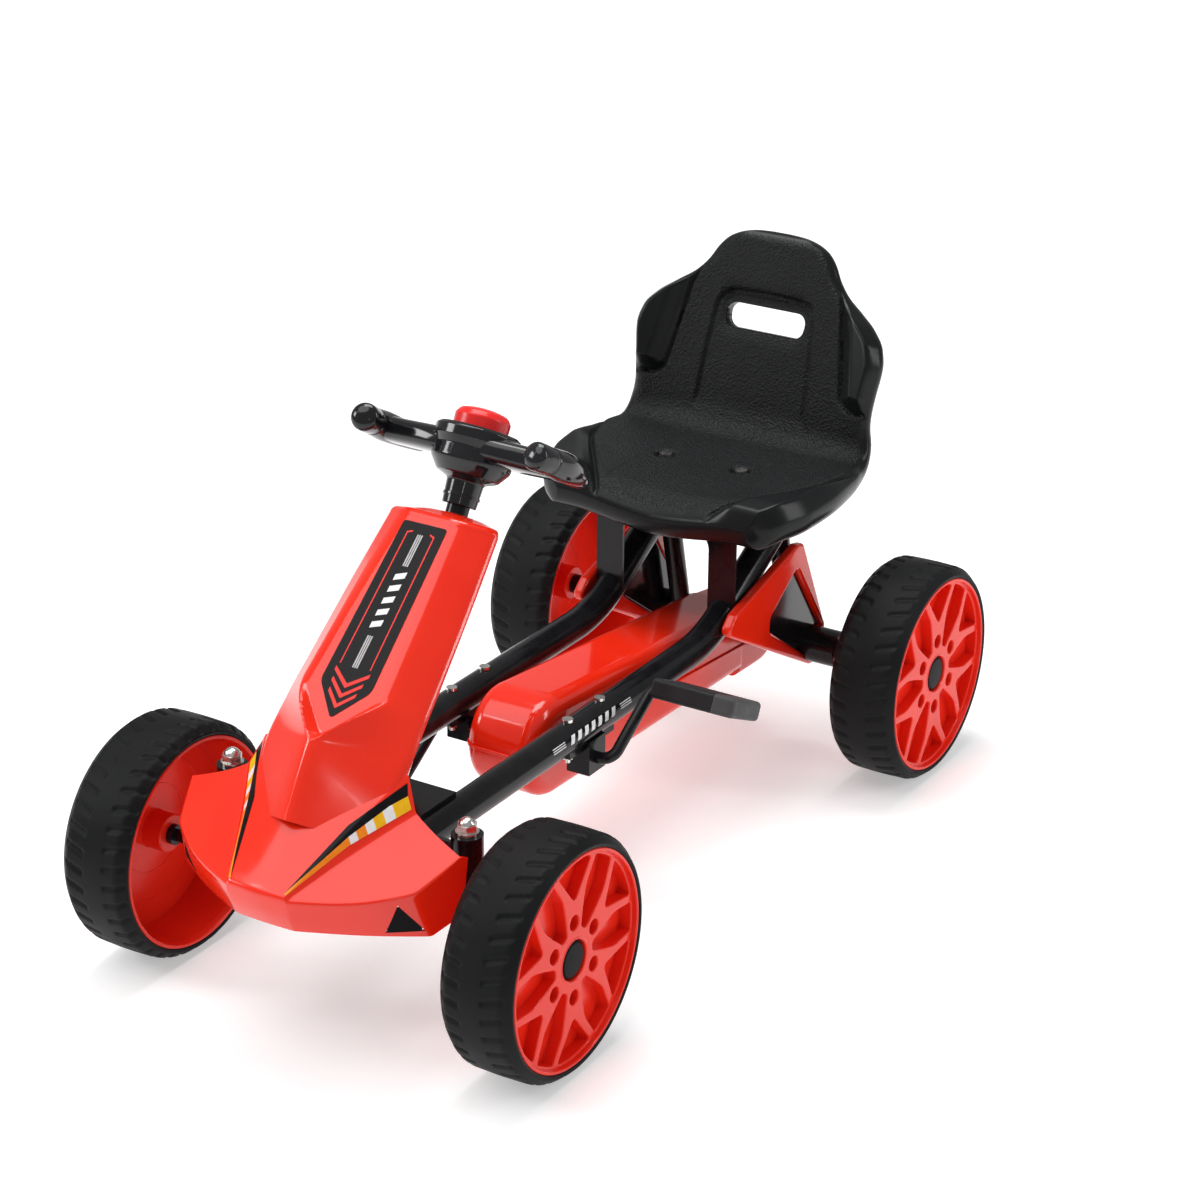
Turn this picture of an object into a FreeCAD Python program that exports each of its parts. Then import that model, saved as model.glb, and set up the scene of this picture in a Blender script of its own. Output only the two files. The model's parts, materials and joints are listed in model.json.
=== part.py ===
import FreeCAD, Part
import math
import os

# Pedal go kart. Millimetres, +Z up, the kart faces -Y and its own left side is +X.
# The origin is on the ground, under the middle of the whole kart.

# ---------------------------------------------------------------- driving dimensions
REAR_AXLE_Y = 377.0
FRONT_AXLE_Y = -350.0
NOSE_Y = -494.5
TYRE_RADIUS = 117.5
TYRE_WIDTH = 76.0
RIM_RADIUS = 105.0
WHEEL_X = 213.0
RAIL_X = 68.0
RAIL_Z = 183.0
TUBE_RADIUS = 16.0
TUBE_WALL = 1.5
RAIL_SLOPE = 29.0
RAIL_BEND_Y = 190.5
RAIL_BEND_RADIUS = 160.0
KINGPIN_X = 132.0
KINGPIN_RADIUS = 6.0
SLEEVE_RADIUS = 15.0
SLEEVE_BOTTOM = 153.0
SLEEVE_TOP = 213.0
COLUMN_RAKE = 30.0
COLUMN_RADIUS = 11.0
COLUMN_PLATE_Y = -302.0
PLATE_TOP = 203.0
ARM_LENGTH = 50.0
PITMAN_LENGTH = 36.0
LINK_X = 15.0
CRANK_Y = -49.0
CRANK_Z = 152.0
CRANK_ARM = 91.0
CRANK_ANGLE = 35.6
ROD_RADIUS = 6.0
ROD_BEND = 14.0
PEDAL_X = (117.0, 210.0)
PEDAL_WIDTH = 62.0
PEDAL_THICKNESS = 20.0
PEDAL_TILT = 25.0
CHAIN_PITCH = 12.7
CRANK_TEETH = 22
AXLE_TEETH = 12
AXLE_RADIUS = 8.0
HOUSING_X = (46.0, 131.0)
HOUSING_RADIUS = 20.0
SEAT_BASE_Z = 306.5
SEAT_BACK_LEAN = 16.2
SEAT_BOLT = (45.8, 297.4)
RUNNING_CLEARANCE = 0.05
GAP = 0.3
GRIP_W = 333.0
COVER_X = (84.4, 96.0)
BRACKET_Y = (221.0, 224.0)
BRACKET_HALF = 84.0
BOLT_RADIUS = 3.0
BEARING_BOLT_Y = (-19.6, -78.7)
BEARING_X = (58.0, 84.0)
PEDAL_CAP = 24.0
GUARD_HALF = 40.0
GUARD_FRONT_RADIUS = 53.5
GUARD_REAR = (345.0, 125.0, 38.5)
GUARD_BODY_END = 335.0
GUARD_LOBE_START = 325.0
GUARD_LOBE_RADIUS = 38.0
AXLE_END = 239.0
HUB_INNER_X = WHEEL_X - 4.0
HUB_OUTER_X = WHEEL_X + 27.0
HUB_RADIUS = 19.0
WEB_X = (WHEEL_X + 18.0, WHEEL_X + 21.0)
RIB_TOP_X = WHEEL_X + 33.0
BARREL_INNER = 101.0
SPOKES = 6
SPOKE_SPREAD = 19.0
STEM_END = 52.0
STEM_HALF = 11.5
NUT_POCKET = 13.0
CAP_RADIUS = 18.5
STUB_RADIUS = 6.0
ARM_Z = (146.5, 150.5)
LINK_Z = 140.0
LOOSE_EYE_RADIUS = 5.4
GRIP_RADIUS = 13.0
BUTTON_RADIUS = 27.0

AXLE_Z = TYRE_RADIUS
SIDES = {"left": 1.0, "right": -1.0}


# ---------------------------------------------------------------- geometry helpers
def vec(x, y, z):
    return FreeCAD.Vector(x, y, z)


def rod(radius, start, end):
    """Round bar between two points."""
    return Part.makeCylinder(radius, (end - start).Length, start, end - start)


def block(low, high):
    """Box between two opposite corners."""
    return Part.makeBox(high[0] - low[0], high[1] - low[1], high[2] - low[2], vec(*low))


def ring(outer, inner, start, end):
    return rod(outer, start, end).cut(rod(inner, start, end))


def unit(vector):
    return vector * (1.0 / vector.Length)


def corner_arc(before, corner, after, radius):
    """Tangent points and middle of the arc that rounds one corner."""
    to_before = unit(before - corner)
    to_after = unit(after - corner)
    half = to_before.getAngle(to_after) / 2.0
    reach = radius / math.tan(half)
    inward = unit(to_before + to_after)
    middle = corner + inward * (radius / math.sin(half) - radius)
    return corner + to_before * reach, middle, corner + to_after * reach


def rounded_wire(points, radii):
    """Closed flat polygon with rounded corners: one radius, or one for each corner."""
    count = len(points)
    if not isinstance(radii, (list, tuple)):
        radii = [radii] * count
    arcs = [corner_arc(points[i - 1], points[i], points[(i + 1) % count], radii[i])
            for i in range(count)]
    edges = []
    for i in range(count):
        edges.append(Part.Arc(*arcs[i]).toShape())
        edges.append(Part.LineSegment(arcs[i][2], arcs[(i + 1) % count][0]).toShape())
    return Part.Wire(edges)


def bent_path(points, radii):
    """Open path of straight runs joined by tangent arcs."""
    edges = []
    start = points[0]
    for i in range(1, len(points) - 1):
        entry, middle, leave = corner_arc(points[i - 1], points[i], points[i + 1], radii[i - 1])
        edges.append(Part.LineSegment(start, entry).toShape())
        edges.append(Part.Arc(entry, middle, leave).toShape())
        start = leave
    edges.append(Part.LineSegment(start, points[-1]).toShape())
    return Part.Wire(edges)


def bent_rod(points, radii, radius):
    path = bent_path(points, radii)
    circle = Part.Wire(Part.makeCircle(radius, points[0], points[1] - points[0]))
    return path.makePipeShell([circle], True, False)


def slab(points, radii, direction):
    """Rounded polygon made solid along a direction."""
    return Part.Face(rounded_wire(points, radii)).extrude(direction)


def polygon(points):
    return Part.makePolygon(list(points) + [points[0]])


def yz_slab(outline, radii, x_low, x_high):
    """Rounded outline given as (y, z), solid from x_low to x_high."""
    points = [vec(x_low, y, z) for y, z in outline]
    return slab(points, radii, vec(x_high - x_low, 0, 0))


def mirrored(shape):
    return shape.mirror(vec(0, 0, 0), vec(1, 0, 0))


def on_side(shape, side):
    """A shape drawn on the kart's left, moved to the named side."""
    return shape if side == "left" else mirrored(shape)


def fused(shapes):
    return shapes[0].multiFuse(shapes[1:]).removeSplitter()


def largest(shape):
    return max(shape.Solids, key=lambda solid: solid.Volume)


def hexagon(across_flats, start, end):
    """Hexagonal bar between two points."""
    corner = across_flats / math.sqrt(3.0)
    axis = unit(end - start)
    side = vec(0, 0, 1) if abs(axis.z) < 0.9 else vec(0, 1, 0)
    first = unit(axis.cross(side)) * corner
    turn = FreeCAD.Rotation(axis, 60)
    points = [start + first]
    for _ in range(5):
        first = turn.multVec(first)
        points.append(start + first)
    return Part.Face(polygon(points)).extrude(end - start)


# ---------------------------------------------------------------- the raked column's own frame
RAKE = math.radians(COLUMN_RAKE)
COLUMN_UP = vec(0, math.sin(RAKE), math.cos(RAKE))
COLUMN_BACK = vec(0, math.cos(RAKE), -math.sin(RAKE))
COLUMN_FOOT = vec(0, COLUMN_PLATE_Y, 199.0)


def column_point(x, back, up):
    """x sideways, back towards the driver, up along the column."""
    return COLUMN_FOOT + vec(x, 0, 0) + COLUMN_BACK * back + COLUMN_UP * up


# ---------------------------------------------------------------- frame
def rail_path():
    rise = math.tan(math.radians(RAIL_SLOPE))
    end_z = 296.0
    end_y = RAIL_BEND_Y + (end_z - RAIL_Z) / rise
    return [vec(RAIL_X, FRONT_AXLE_Y, RAIL_Z), vec(RAIL_X, RAIL_BEND_Y, RAIL_Z),
            vec(RAIL_X, end_y, end_z)]


def rail_solid(radius):
    return bent_rod(rail_path(), [RAIL_BEND_RADIUS], radius)


def frame_rail(side):
    """Bent tube, closed at both ends, with its bolt holes."""
    bore = rail_solid(TUBE_RADIUS - TUBE_WALL)
    bore = bore.common(block((0, FRONT_AXLE_Y + 20, 0), (200, 500, SEAT_BASE_Z - 6)))
    tube = rail_solid(TUBE_RADIUS).cut(bore)
    above_plate = block((0, 300, SEAT_BASE_Z - 3.0), (200, 500, 400))
    tube = tube.cut(above_plate).cut(cross_tube_solid(TUBE_RADIUS))
    for bolt_y in BEARING_BOLT_Y:
        tube = tube.cut(rod(BOLT_RADIUS, vec(RAIL_X, bolt_y, 150), vec(RAIL_X, bolt_y, 220)))
    return on_side(largest(tube), side)


def cross_tube_solid(radius):
    return rod(radius, vec(-KINGPIN_X, FRONT_AXLE_Y, RAIL_Z), vec(KINGPIN_X, FRONT_AXLE_Y, RAIL_Z))


def sleeve_solid(side, radius):
    x = KINGPIN_X * SIDES[side]
    return rod(radius, vec(x, FRONT_AXLE_Y, SLEEVE_BOTTOM), vec(x, FRONT_AXLE_Y, SLEEVE_TOP))


def front_cross_tube():
    """Cross tube with the two kingpin sleeves welded to its ends."""
    tube = cross_tube_solid(TUBE_RADIUS).cut(cross_tube_solid(TUBE_RADIUS - TUBE_WALL))
    for side in SIDES:
        tube = tube.cut(sleeve_solid(side, SLEEVE_RADIUS))
    parts = [largest(tube)]
    parts += [sleeve_solid(side, SLEEVE_RADIUS) for side in SIDES]
    beam = fused(parts)
    for side in SIDES:
        beam = beam.cut(sleeve_solid(side, KINGPIN_RADIUS + RUNNING_CLEARANCE))
    return beam


def column_support_plate():
    """Flat plate across the rails, with a raked hole for the lower bush."""
    low = (-RAIL_X + 2, COLUMN_PLATE_Y - 28, PLATE_TOP - 4)
    high = (RAIL_X - 2, COLUMN_PLATE_Y + 32, PLATE_TOP)
    plate = block(low, high).cut(lower_bush_solid())
    return plate.cut(rod(COLUMN_RADIUS + 1, column_point(0, 0, -40), column_point(0, 0, 40)))


def lower_bush_solid():
    return rod(16.0, column_point(0, 0, -6), column_point(0, 0, 12))


def column_bushes():
    """Lower bush in the plate and upper bush in the cover's top."""
    bore = rod(COLUMN_RADIUS + RUNNING_CLEARANCE, column_point(0, 0, -80), column_point(0, 0, 300))
    upper = rod(16.0, column_point(0, 0, 252), column_point(0, 0, 264))
    return [lower_bush_solid().cut(bore), upper.cut(bore)]


# ---------------------------------------------------------------- rear frame and axle housings
def rear_axle_point(x):
    return vec(x, REAR_AXLE_Y, AXLE_Z)


def housing_solid(radius):
    return rod(radius, rear_axle_point(HOUSING_X[0]), rear_axle_point(HOUSING_X[1]))


def rear_stay(side):
    """Strut from the rail's upper run down to the axle housing."""
    start = vec(RAIL_X, 341, 268)
    end = vec(RAIL_X, REAR_AXLE_Y, AXLE_Z)
    stay = rod(11.0, start, end).cut(rail_solid(TUBE_RADIUS)).cut(housing_solid(HOUSING_RADIUS))
    return on_side(largest(stay), side)


def axle_housing(side):
    bearing_depth = 10.0
    housing = housing_solid(HOUSING_RADIUS).cut(housing_solid(12.0))
    for start, end in bearing_spans(bearing_depth):
        housing = housing.cut(rod(17.0, rear_axle_point(start), rear_axle_point(end)))
    return on_side(housing, side)


def bearing_spans(depth):
    return ((HOUSING_X[0], HOUSING_X[0] + depth), (HOUSING_X[1] - depth, HOUSING_X[1]))


def axle_bearings():
    bore = AXLE_RADIUS + RUNNING_CLEARANCE
    rings = [ring(17.0, bore, rear_axle_point(start), rear_axle_point(end))
             for start, end in bearing_spans(10.0)]
    return rings + [mirrored(bearing) for bearing in rings]


COVER_OUTLINE = [(187, 196), (206, 213), (338, 246), (352, 243), (408, 128), (383, 88)]
INSET_OUTLINE = [(281, 166), (282, 182), (338, 219), (402, 129), (383, 94)]


def rear_cover(side):
    """Rounded triangular side cover with a window for the dark inset."""
    cover = yz_slab(COVER_OUTLINE, [8, 12, 6, 6, 8, 10], *COVER_X)
    outer = [edge for edge in cover.Edges if edge.BoundBox.XMin > COVER_X[1] - 0.01]
    cover = cover.makeFillet(5.0, outer)
    cover = cover.cut(yz_slab(INSET_OUTLINE, 5, *COVER_X)).cut(housing_solid(HOUSING_RADIUS))
    return on_side(largest(cover), side)


def rear_inset(side):
    """Dark recessed panel that the axle housing passes through."""
    inset = yz_slab(INSET_OUTLINE, 5, COVER_X[0], COVER_X[0] + 4.0)
    return on_side(largest(inset.cut(housing_solid(HOUSING_RADIUS))), side)


# ---------------------------------------------------------------- seat


def seat_bracket():
    """Folded plate: two legs on the rails, and a shelf under the seat."""
    leg_bottom = 200.0
    opening_top = 289.0
    opening_half = 52.0
    front = block((-BRACKET_HALF, BRACKET_Y[0], leg_bottom),
                  (BRACKET_HALF, BRACKET_Y[1], SEAT_BASE_Z))
    outline = [vec(x, BRACKET_Y[0] - 1, z) for x, z in
               ((-opening_half, 150), (opening_half, 150),
                (opening_half, opening_top), (-opening_half, opening_top))]
    front = front.cut(slab(outline, [5, 5, 18, 18], vec(0, 5, 0)))
    shelf = block((-BRACKET_HALF, BRACKET_Y[0], SEAT_BASE_Z - 3), (BRACKET_HALF, 386, SEAT_BASE_Z))
    bracket = front.fuse(shelf).removeSplitter()
    for rail in (rail_solid(TUBE_RADIUS), mirrored(rail_solid(TUBE_RADIUS))):
        bracket = bracket.cut(rail)
    for side in SIDES.values():
        bracket = bracket.cut(seat_bolt_solid(side, BOLT_RADIUS))
    return largest(bracket)


def seat_band():
    """Side profile of pan and backrest, as wide as the seat."""
    half = 162.0
    profile = [(188, 306.5), (186, 328), (388, 338), (449, 547), (470, 541), (402, 306.5)]
    return yz_slab(profile, [8, 9, 35, 9, 9, 30], -half, half)


def seat_pan_prism():
    outline = [(-142, 184), (142, 184), (161, 240), (161, 322), (146, 420), (-146, 420),
               (-161, 322), (-161, 240)]
    points = [vec(x, y, 290) for x, y in outline]
    return slab(points, [30, 30, 30, 30, 10, 10, 30, 30], vec(0, 0, 70))


def seat_back_prism():
    outline = [(-147, 335), (147, 335), (146, 385), (150, 440), (93, 491), (62, 549),
               (-62, 549), (-93, 491), (-150, 440), (-146, 385)]
    points = [vec(x, 340, z) for x, z in outline]
    return slab(points, [8, 8, 20, 25, 14, 28, 28, 14, 25, 20], vec(0, 150, 0))


def seat_wing(side):
    """Wedge that brings one side of the backrest forward."""
    lean = math.radians(SEAT_BACK_LEAN)
    section = [vec(96, 404, 378), vec(150, 376, 378), vec(150, 410, 378)]
    along_back = vec(0, math.sin(lean), math.cos(lean)) * 118
    wedge = Part.Face(polygon(section)).extrude(along_back)
    return on_side(wedge.common(seat_back_prism()), side)


def seat_bolster(side):
    """Raised rim along one side of the pan."""
    section = [vec(112, 196, 331), vec(162, 196, 346), vec(162, 196, 326), vec(112, 196, 322)]
    wedge = Part.Face(polygon(section)).extrude(vec(0, 190, 0))
    return on_side(wedge.common(seat_pan_prism()), side)


def seat_bolt_solid(side, radius):
    x, y = SEAT_BOLT
    return rod(radius, vec(x * side, y, 296), vec(x * side, y, 332))


def seat_shell():
    band = seat_band()
    pieces = [band.common(seat_pan_prism()), band.common(seat_back_prism())]
    pieces += [seat_wing(side) for side in SIDES]
    pieces += [seat_bolster(side) for side in SIDES]
    seat = fused(pieces)
    slot = [vec(x, 380, z) for x, z in ((-48, 440), (48, 440), (50, 466), (-50, 466))]
    seat = seat.cut(slab(slot, 11, vec(0, 120, 0)))
    for side in SIDES.values():
        x, y = SEAT_BOLT
        seat = seat.cut(seat_bolt_solid(side, BOLT_RADIUS))
        seat = seat.cut(rod(9.5, vec(x * side, y, 331), vec(x * side, y, 345)))
    return largest(seat)


def seat_bolts():
    """Two bolts through the pan and the shelf, each with its nut."""
    bolts = []
    for side in SIDES.values():
        x, y = SEAT_BOLT
        head = rod(6.5, vec(x * side, y, 331), vec(x * side, y, 334.5))
        bolts.append(head.fuse(seat_bolt_solid(side, BOLT_RADIUS)).removeSplitter())
        nut = hexagon(10.0, vec(x * side, y, 298.5), vec(x * side, y, SEAT_BASE_Z - 3))
        bolts.append(nut.cut(seat_bolt_solid(side, BOLT_RADIUS)))
    return bolts


# ---------------------------------------------------------------- column cover
# Each section: height along the column, front corner, side corner and back corner (x, back).
COVER_SECTIONS = [
    (-45.0, (34, -136), (70, -101), (15, 16)),
    (30.0, (41, -129), (77, -89), (17, 17)),
    (112.0, (38, -97), (72, -63), (22, 19)),
    (262.0, (28, -47), (59, -18), (36, 21)),
]


def cover_loft(inset, top_cut=0.0):
    """The cover's outer form, or its hollow when inset is the wall thickness."""
    wires = []
    for up, front, side, back in COVER_SECTIONS:
        height = up - top_cut if up > 200 else up
        half = [(front[0] - inset * 0.5, front[1] + inset), (side[0] - inset * 1.1, side[1]),
                (back[0] - inset * 0.6, back[1] - inset)]
        loop = half + [(-x, back_at) for x, back_at in reversed(half)]
        wires.append(polygon([column_point(x, back_at, height) for x, back_at in loop]))
    return Part.makeLoft(wires, True, True)


def cover_front_zone():
    """Everything ahead of the seam between the cover's two shells."""
    wires = []
    for up, _, side, _ in COVER_SECTIONS:
        height = up + 20 if up > 200 else up - 20 if up < 0 else up
        corners = [(-120, side[1]), (120, side[1]), (120, -300), (-120, -300)]
        wires.append(polygon([column_point(x, back, height) for x, back in corners]))
    return Part.makeLoft(wires, True, True)


def cover_tube():
    wall = 3.0
    tube = cover_loft(0).cut(cover_loft(wall, wall))
    tube = tube.cut(rod(16.0, column_point(0, 0, 240), column_point(0, 0, 300)))
    tube = tube.cut(rod(17.5, column_point(0, 0, -40), column_point(0, 0, 20)))
    below = block((-200, -600, 0), (200, 0, PLATE_TOP + 0.2))
    behind = block((-200, -396, 0), (200, 0, 216))
    return tube.cut(below).cut(behind)


def column_cover_front():
    return largest(cover_tube().common(cover_front_zone()))


def column_cover_rear():
    return largest(cover_tube().cut(cover_front_zone()))


# ---------------------------------------------------------------- nose bumper
# Each station: x, then (y, z) of the rear top edge, the front crease and the lower lip.
NOSE_STATIONS = [
    (0.0, (-425.0, 243.0), (NOSE_Y, 181.0), (-480.0, 143.0)),
    (30.0, (-411.0, 248.0), (-491.6, 182.0), (-478.0, 143.0)),
    (78.6, (-364.5, 265.6), (-475.0, 179.0), (-462.0, 142.0)),
    (106.0, (-376.0, 226.0), (-455.0, 181.0), (-442.0, 141.0)),
    (132.0, (-384.0, 215.0), (-431.0, 188.0), (-419.0, 141.0)),
    (150.0, (-387.0, 210.0), (-400.0, 196.0), (-396.0, 152.0)),
]


def nose_section(station):
    """Closed outline of the bumper's wall at one distance from the middle."""
    x, rear, crease, lip = station
    wall = 4.0
    outer = [rear, crease, lip]
    inner = [(lip[0] + wall, lip[1]), (crease[0] + wall + 1, crease[1] - 1),
             (rear[0] + 1, rear[1] - wall - 1)]
    return polygon([vec(x, y, z) for y, z in outer + inner])


def nose_cheek():
    """End wall that closes the bumper at its outer corner."""
    x, rear, crease, lip = NOSE_STATIONS[-1]
    outline = [rear, crease, lip, (-384.0, 150.0), (-382.0, 205.0)]
    points = [vec(x, y, z) for y, z in outline]
    return Part.Face(polygon(points)).extrude(vec(3.0, 0, 0))


def nose_half():
    sections = [nose_section(station) for station in NOSE_STATIONS]
    spans = [Part.makeLoft([sections[i], sections[i + 1]], True, True)
             for i in range(len(sections) - 1)]
    return fused(spans + [nose_cheek()])


def vent_corners():
    return [vec(121, -444, 178), vec(137, -424, 148), vec(108, -445, 147)]


VENT_OUT = vec(0.62, -0.78, 0.05)


def vent_prism(low, high):
    points = [corner + VENT_OUT * low for corner in vent_corners()]
    return slab(points, 3.0, VENT_OUT * (high - low))


def nose_bumper():
    half = nose_half().cut(vent_prism(-30, 30))
    nose = half.fuse(mirrored(half)).removeSplitter()
    return largest(nose.cut(cover_loft(-GAP)))


def nose_vent_inserts():
    """Dark triangular panels behind the bumper's side openings."""
    insert = vent_prism(-6.5, -3.5)
    insert = largest(insert.cut(nose_bumper()))
    return [insert, mirrored(insert)]


def nose_brackets():
    """Straps that carry the bumper from the cross tube."""
    strap = block((50, -468, 180), (74, FRONT_AXLE_Y, 183))
    strap = largest(strap.cut(cross_tube_solid(TUBE_RADIUS)).cut(nose_bumper()))
    strap = largest(strap.cut(cover_loft(0)))
    return [strap, mirrored(strap)]


# ---------------------------------------------------------------- crank, pedals and chain


def crank_bearing(side):
    """Block under the rail with a saddle plate that two bolts hold."""
    plate = block((BEARING_X[0], -90, RAIL_Z - TUBE_RADIUS - 3), (78, -8, RAIL_Z - 10))
    body = block((BEARING_X[0], CRANK_Y - 15, CRANK_Z - 15), (BEARING_X[1], CRANK_Y + 15, RAIL_Z - 10))
    bearing = plate.fuse(body).removeSplitter().cut(rail_solid(TUBE_RADIUS))
    bore = rod(ROD_RADIUS + RUNNING_CLEARANCE, vec(0, CRANK_Y, CRANK_Z), vec(200, CRANK_Y, CRANK_Z))
    bearing = bearing.cut(bore)
    for bolt_y in BEARING_BOLT_Y:
        bearing = bearing.cut(rod(BOLT_RADIUS, vec(RAIL_X, bolt_y, 150), vec(RAIL_X, bolt_y, 220)))
    return on_side(largest(bearing), side)


def bearing_bolt(bolt_y):
    """Pan-head bolt through the rail and the saddle plate, with its nut."""
    top = RAIL_Z + TUBE_RADIUS
    foot = RAIL_Z - TUBE_RADIUS - 3
    shank = rod(BOLT_RADIUS, vec(RAIL_X, bolt_y, foot - 9), vec(RAIL_X, bolt_y, top + 1))
    head = rod(5.5, vec(RAIL_X, bolt_y, top), vec(RAIL_X, bolt_y, top + 2.8))
    nut = hexagon(10.0, vec(RAIL_X, bolt_y, foot - 5), vec(RAIL_X, bolt_y, foot))
    return [shank.fuse(head).removeSplitter(), nut.cut(shank)]


def crank_bearing_bolts():
    bolts = []
    for bolt_y in BEARING_BOLT_Y:
        bolts += bearing_bolt(bolt_y)
    return bolts + [mirrored(bolt) for bolt in bolts]


def crank_arm_offset():
    angle = math.radians(CRANK_ANGLE)
    return vec(0, math.cos(angle), math.sin(angle)) * CRANK_ARM


def crankshaft():
    """One bent rod: a spindle and arm each side of the straight middle."""
    centre = vec(0, CRANK_Y, CRANK_Z)
    offset = crank_arm_offset()
    half = [centre + vec(100.5, 0, 0), centre + vec(103.5, 0, 0) + offset,
            centre + vec(PEDAL_X[1] - 8, 0, 0) + offset]
    other = [vec(-point.x, 2 * CRANK_Y - point.y, 2 * CRANK_Z - point.z) for point in half]
    points = list(reversed(other)) + half
    return bent_rod(points, [ROD_BEND] * 4, ROD_RADIUS)


def sprocket(teeth, thickness, centre):
    """Chain wheel: a disc with a roller seat between each two teeth."""
    pitch_radius = CHAIN_PITCH / (2 * math.sin(math.pi / teeth))
    half = vec(thickness / 2, 0, 0)
    disc = rod(pitch_radius + 2.6, centre - half, centre + half)
    for tooth in range(teeth):
        angle = 2 * math.pi * (tooth + 0.5) / teeth
        seat = centre + vec(0, math.cos(angle), math.sin(angle)) * pitch_radius
        disc = disc.cut(rod(4.1, seat - half * 2, seat + half * 2))
    return disc


def crank_sprocket():
    centre = vec(0, CRANK_Y, CRANK_Z)
    hub = rod(14.0, centre - vec(9, 0, 0), centre + vec(9, 0, 0))
    wheel = sprocket(CRANK_TEETH, 3.0, centre).fuse(hub).removeSplitter()
    return wheel.cut(rod(ROD_RADIUS, centre - vec(20, 0, 0), centre + vec(20, 0, 0)))


def pedal_centre(side):
    sign = SIDES[side]
    return vec(0, CRANK_Y, CRANK_Z) + crank_arm_offset() * sign


def pedal_block(side, x_low, x_high):
    """Slab round the spindle, leaning back towards the driver's feet."""
    half_width = PEDAL_WIDTH / 2
    half_thick = PEDAL_THICKNESS / 2
    centre = pedal_centre(side)
    outline = [(-half_width, -half_thick), (half_width, -half_thick),
               (half_width, half_thick), (-half_width, half_thick)]
    points = [vec(x_low, centre.y + y, centre.z + z) for y, z in outline]
    body = slab(points, 8.0, vec(x_high - x_low, 0, 0))
    body.rotate(centre, vec(1, 0, 0), -PEDAL_TILT)
    spindle = rod(ROD_RADIUS + RUNNING_CLEARANCE, vec(x_low - 1, centre.y, centre.z),
                  vec(PEDAL_X[1] - 6, centre.y, centre.z))
    return on_side(body.cut(spindle), side)


def pedal(side):
    return pedal_block(side, PEDAL_X[0], PEDAL_X[1] - PEDAL_CAP)


def pedal_cap(side):
    return pedal_block(side, PEDAL_X[1] - PEDAL_CAP, PEDAL_X[1])


def belt_outline(centres, radii):
    """Outline round two circles in the plane of the chain: two arcs and two tangents."""
    front, rear = centres
    gap = rear - front
    base = math.atan2(gap.z, gap.y)
    lean = math.acos((radii[0] - radii[1]) / gap.Length)

    def at(centre, radius, angle):
        return centre + vec(0, math.cos(angle), math.sin(angle)) * radius

    upper = [at(front, radii[0], base + lean), at(rear, radii[1], base + lean)]
    lower = [at(front, radii[0], base - lean), at(rear, radii[1], base - lean)]
    edges = [Part.LineSegment(upper[0], upper[1]).toShape(),
             Part.Arc(upper[1], at(rear, radii[1], base), lower[1]).toShape(),
             Part.LineSegment(lower[1], lower[0]).toShape(),
             Part.Arc(lower[0], at(front, radii[0], base + math.pi), upper[0]).toShape()]
    return Part.Wire(edges), upper, lower


def chain_centres(x):
    return [vec(x, CRANK_Y, CRANK_Z), vec(x, REAR_AXLE_Y, AXLE_Z)]


def belt_solid(radii, x_low, x_high):
    wire = belt_outline(chain_centres(x_low), radii)[0]
    return Part.Face(wire).extrude(vec(x_high - x_low, 0, 0))


def pitch_radii():
    return [CHAIN_PITCH / (2 * math.sin(math.pi / teeth)) for teeth in (CRANK_TEETH, AXLE_TEETH)]


def chain_pins(start, end):
    """Rollers along one free run of the chain, clear of both sprockets."""
    run = end - start
    first = 27.0
    last = run.Length - 22.0
    count = int((last - first) / CHAIN_PITCH) + 1
    half = vec(3.2, 0, 0)
    places = [start + unit(run) * (first + i * CHAIN_PITCH) for i in range(count)]
    return [rod(3.0, place - half, place + half) for place in places]


def drive_chain():
    plate_height = 4.0
    radii = pitch_radii()
    outer = [radius + plate_height for radius in radii]
    inner = [radius - plate_height for radius in radii]
    strips = []
    for x_low, x_high in ((2.0, 3.2), (-3.2, -2.0)):
        strips.append(belt_solid(outer, x_low, x_high).cut(belt_solid(inner, x_low, x_high)))
    _, upper, lower = belt_outline(chain_centres(0.0), radii)
    pins = chain_pins(*upper) + chain_pins(*lower)
    return fused(strips + pins)


# ---------------------------------------------------------------- chain guard


def guard_body(inset):
    """Long tapered part of the casing, round-edged, closed just ahead of the axle."""
    half = GUARD_HALF - inset
    rear_y, rear_z, rear_radius = GUARD_REAR
    centres = [vec(-half, CRANK_Y, CRANK_Z), vec(-half, rear_y, rear_z)]
    wire = belt_outline(centres, [GUARD_FRONT_RADIUS - inset, rear_radius - inset])[0]
    body = Part.Face(wire).extrude(vec(2 * half, 0, 0))
    body = body.cut(block((-100, GUARD_BODY_END - inset, 0), (100, 600, 400)))
    long_edges = [edge for edge in body.Edges
                  if edge.BoundBox.XLength < 0.01 and edge.BoundBox.YMin < GUARD_LOBE_START]
    return body.makeFillet(15.0 - inset, long_edges)


def guard_lobe(inset):
    """Narrower rear part of the casing, round the axle's sprocket."""
    half = GUARD_HALF - 6.0 - inset
    lobe = belt_solid([50.0 - inset, GUARD_LOBE_RADIUS - inset], -half, half)
    return lobe.cut(block((-100, -300, 0), (100, GUARD_LOBE_START + inset, 400)))


def guard_solid(inset):
    return guard_body(inset).fuse(guard_lobe(inset))


def guard_shell():
    wall = 2.5
    shell = guard_solid(0).cut(guard_solid(wall))
    crank_hole = rod(9.0, vec(-100, CRANK_Y, CRANK_Z), vec(100, CRANK_Y, CRANK_Z))
    axle_hole = rod(11.0, rear_axle_point(-100), rear_axle_point(100))
    return shell.cut(crank_hole).cut(axle_hole)


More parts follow.
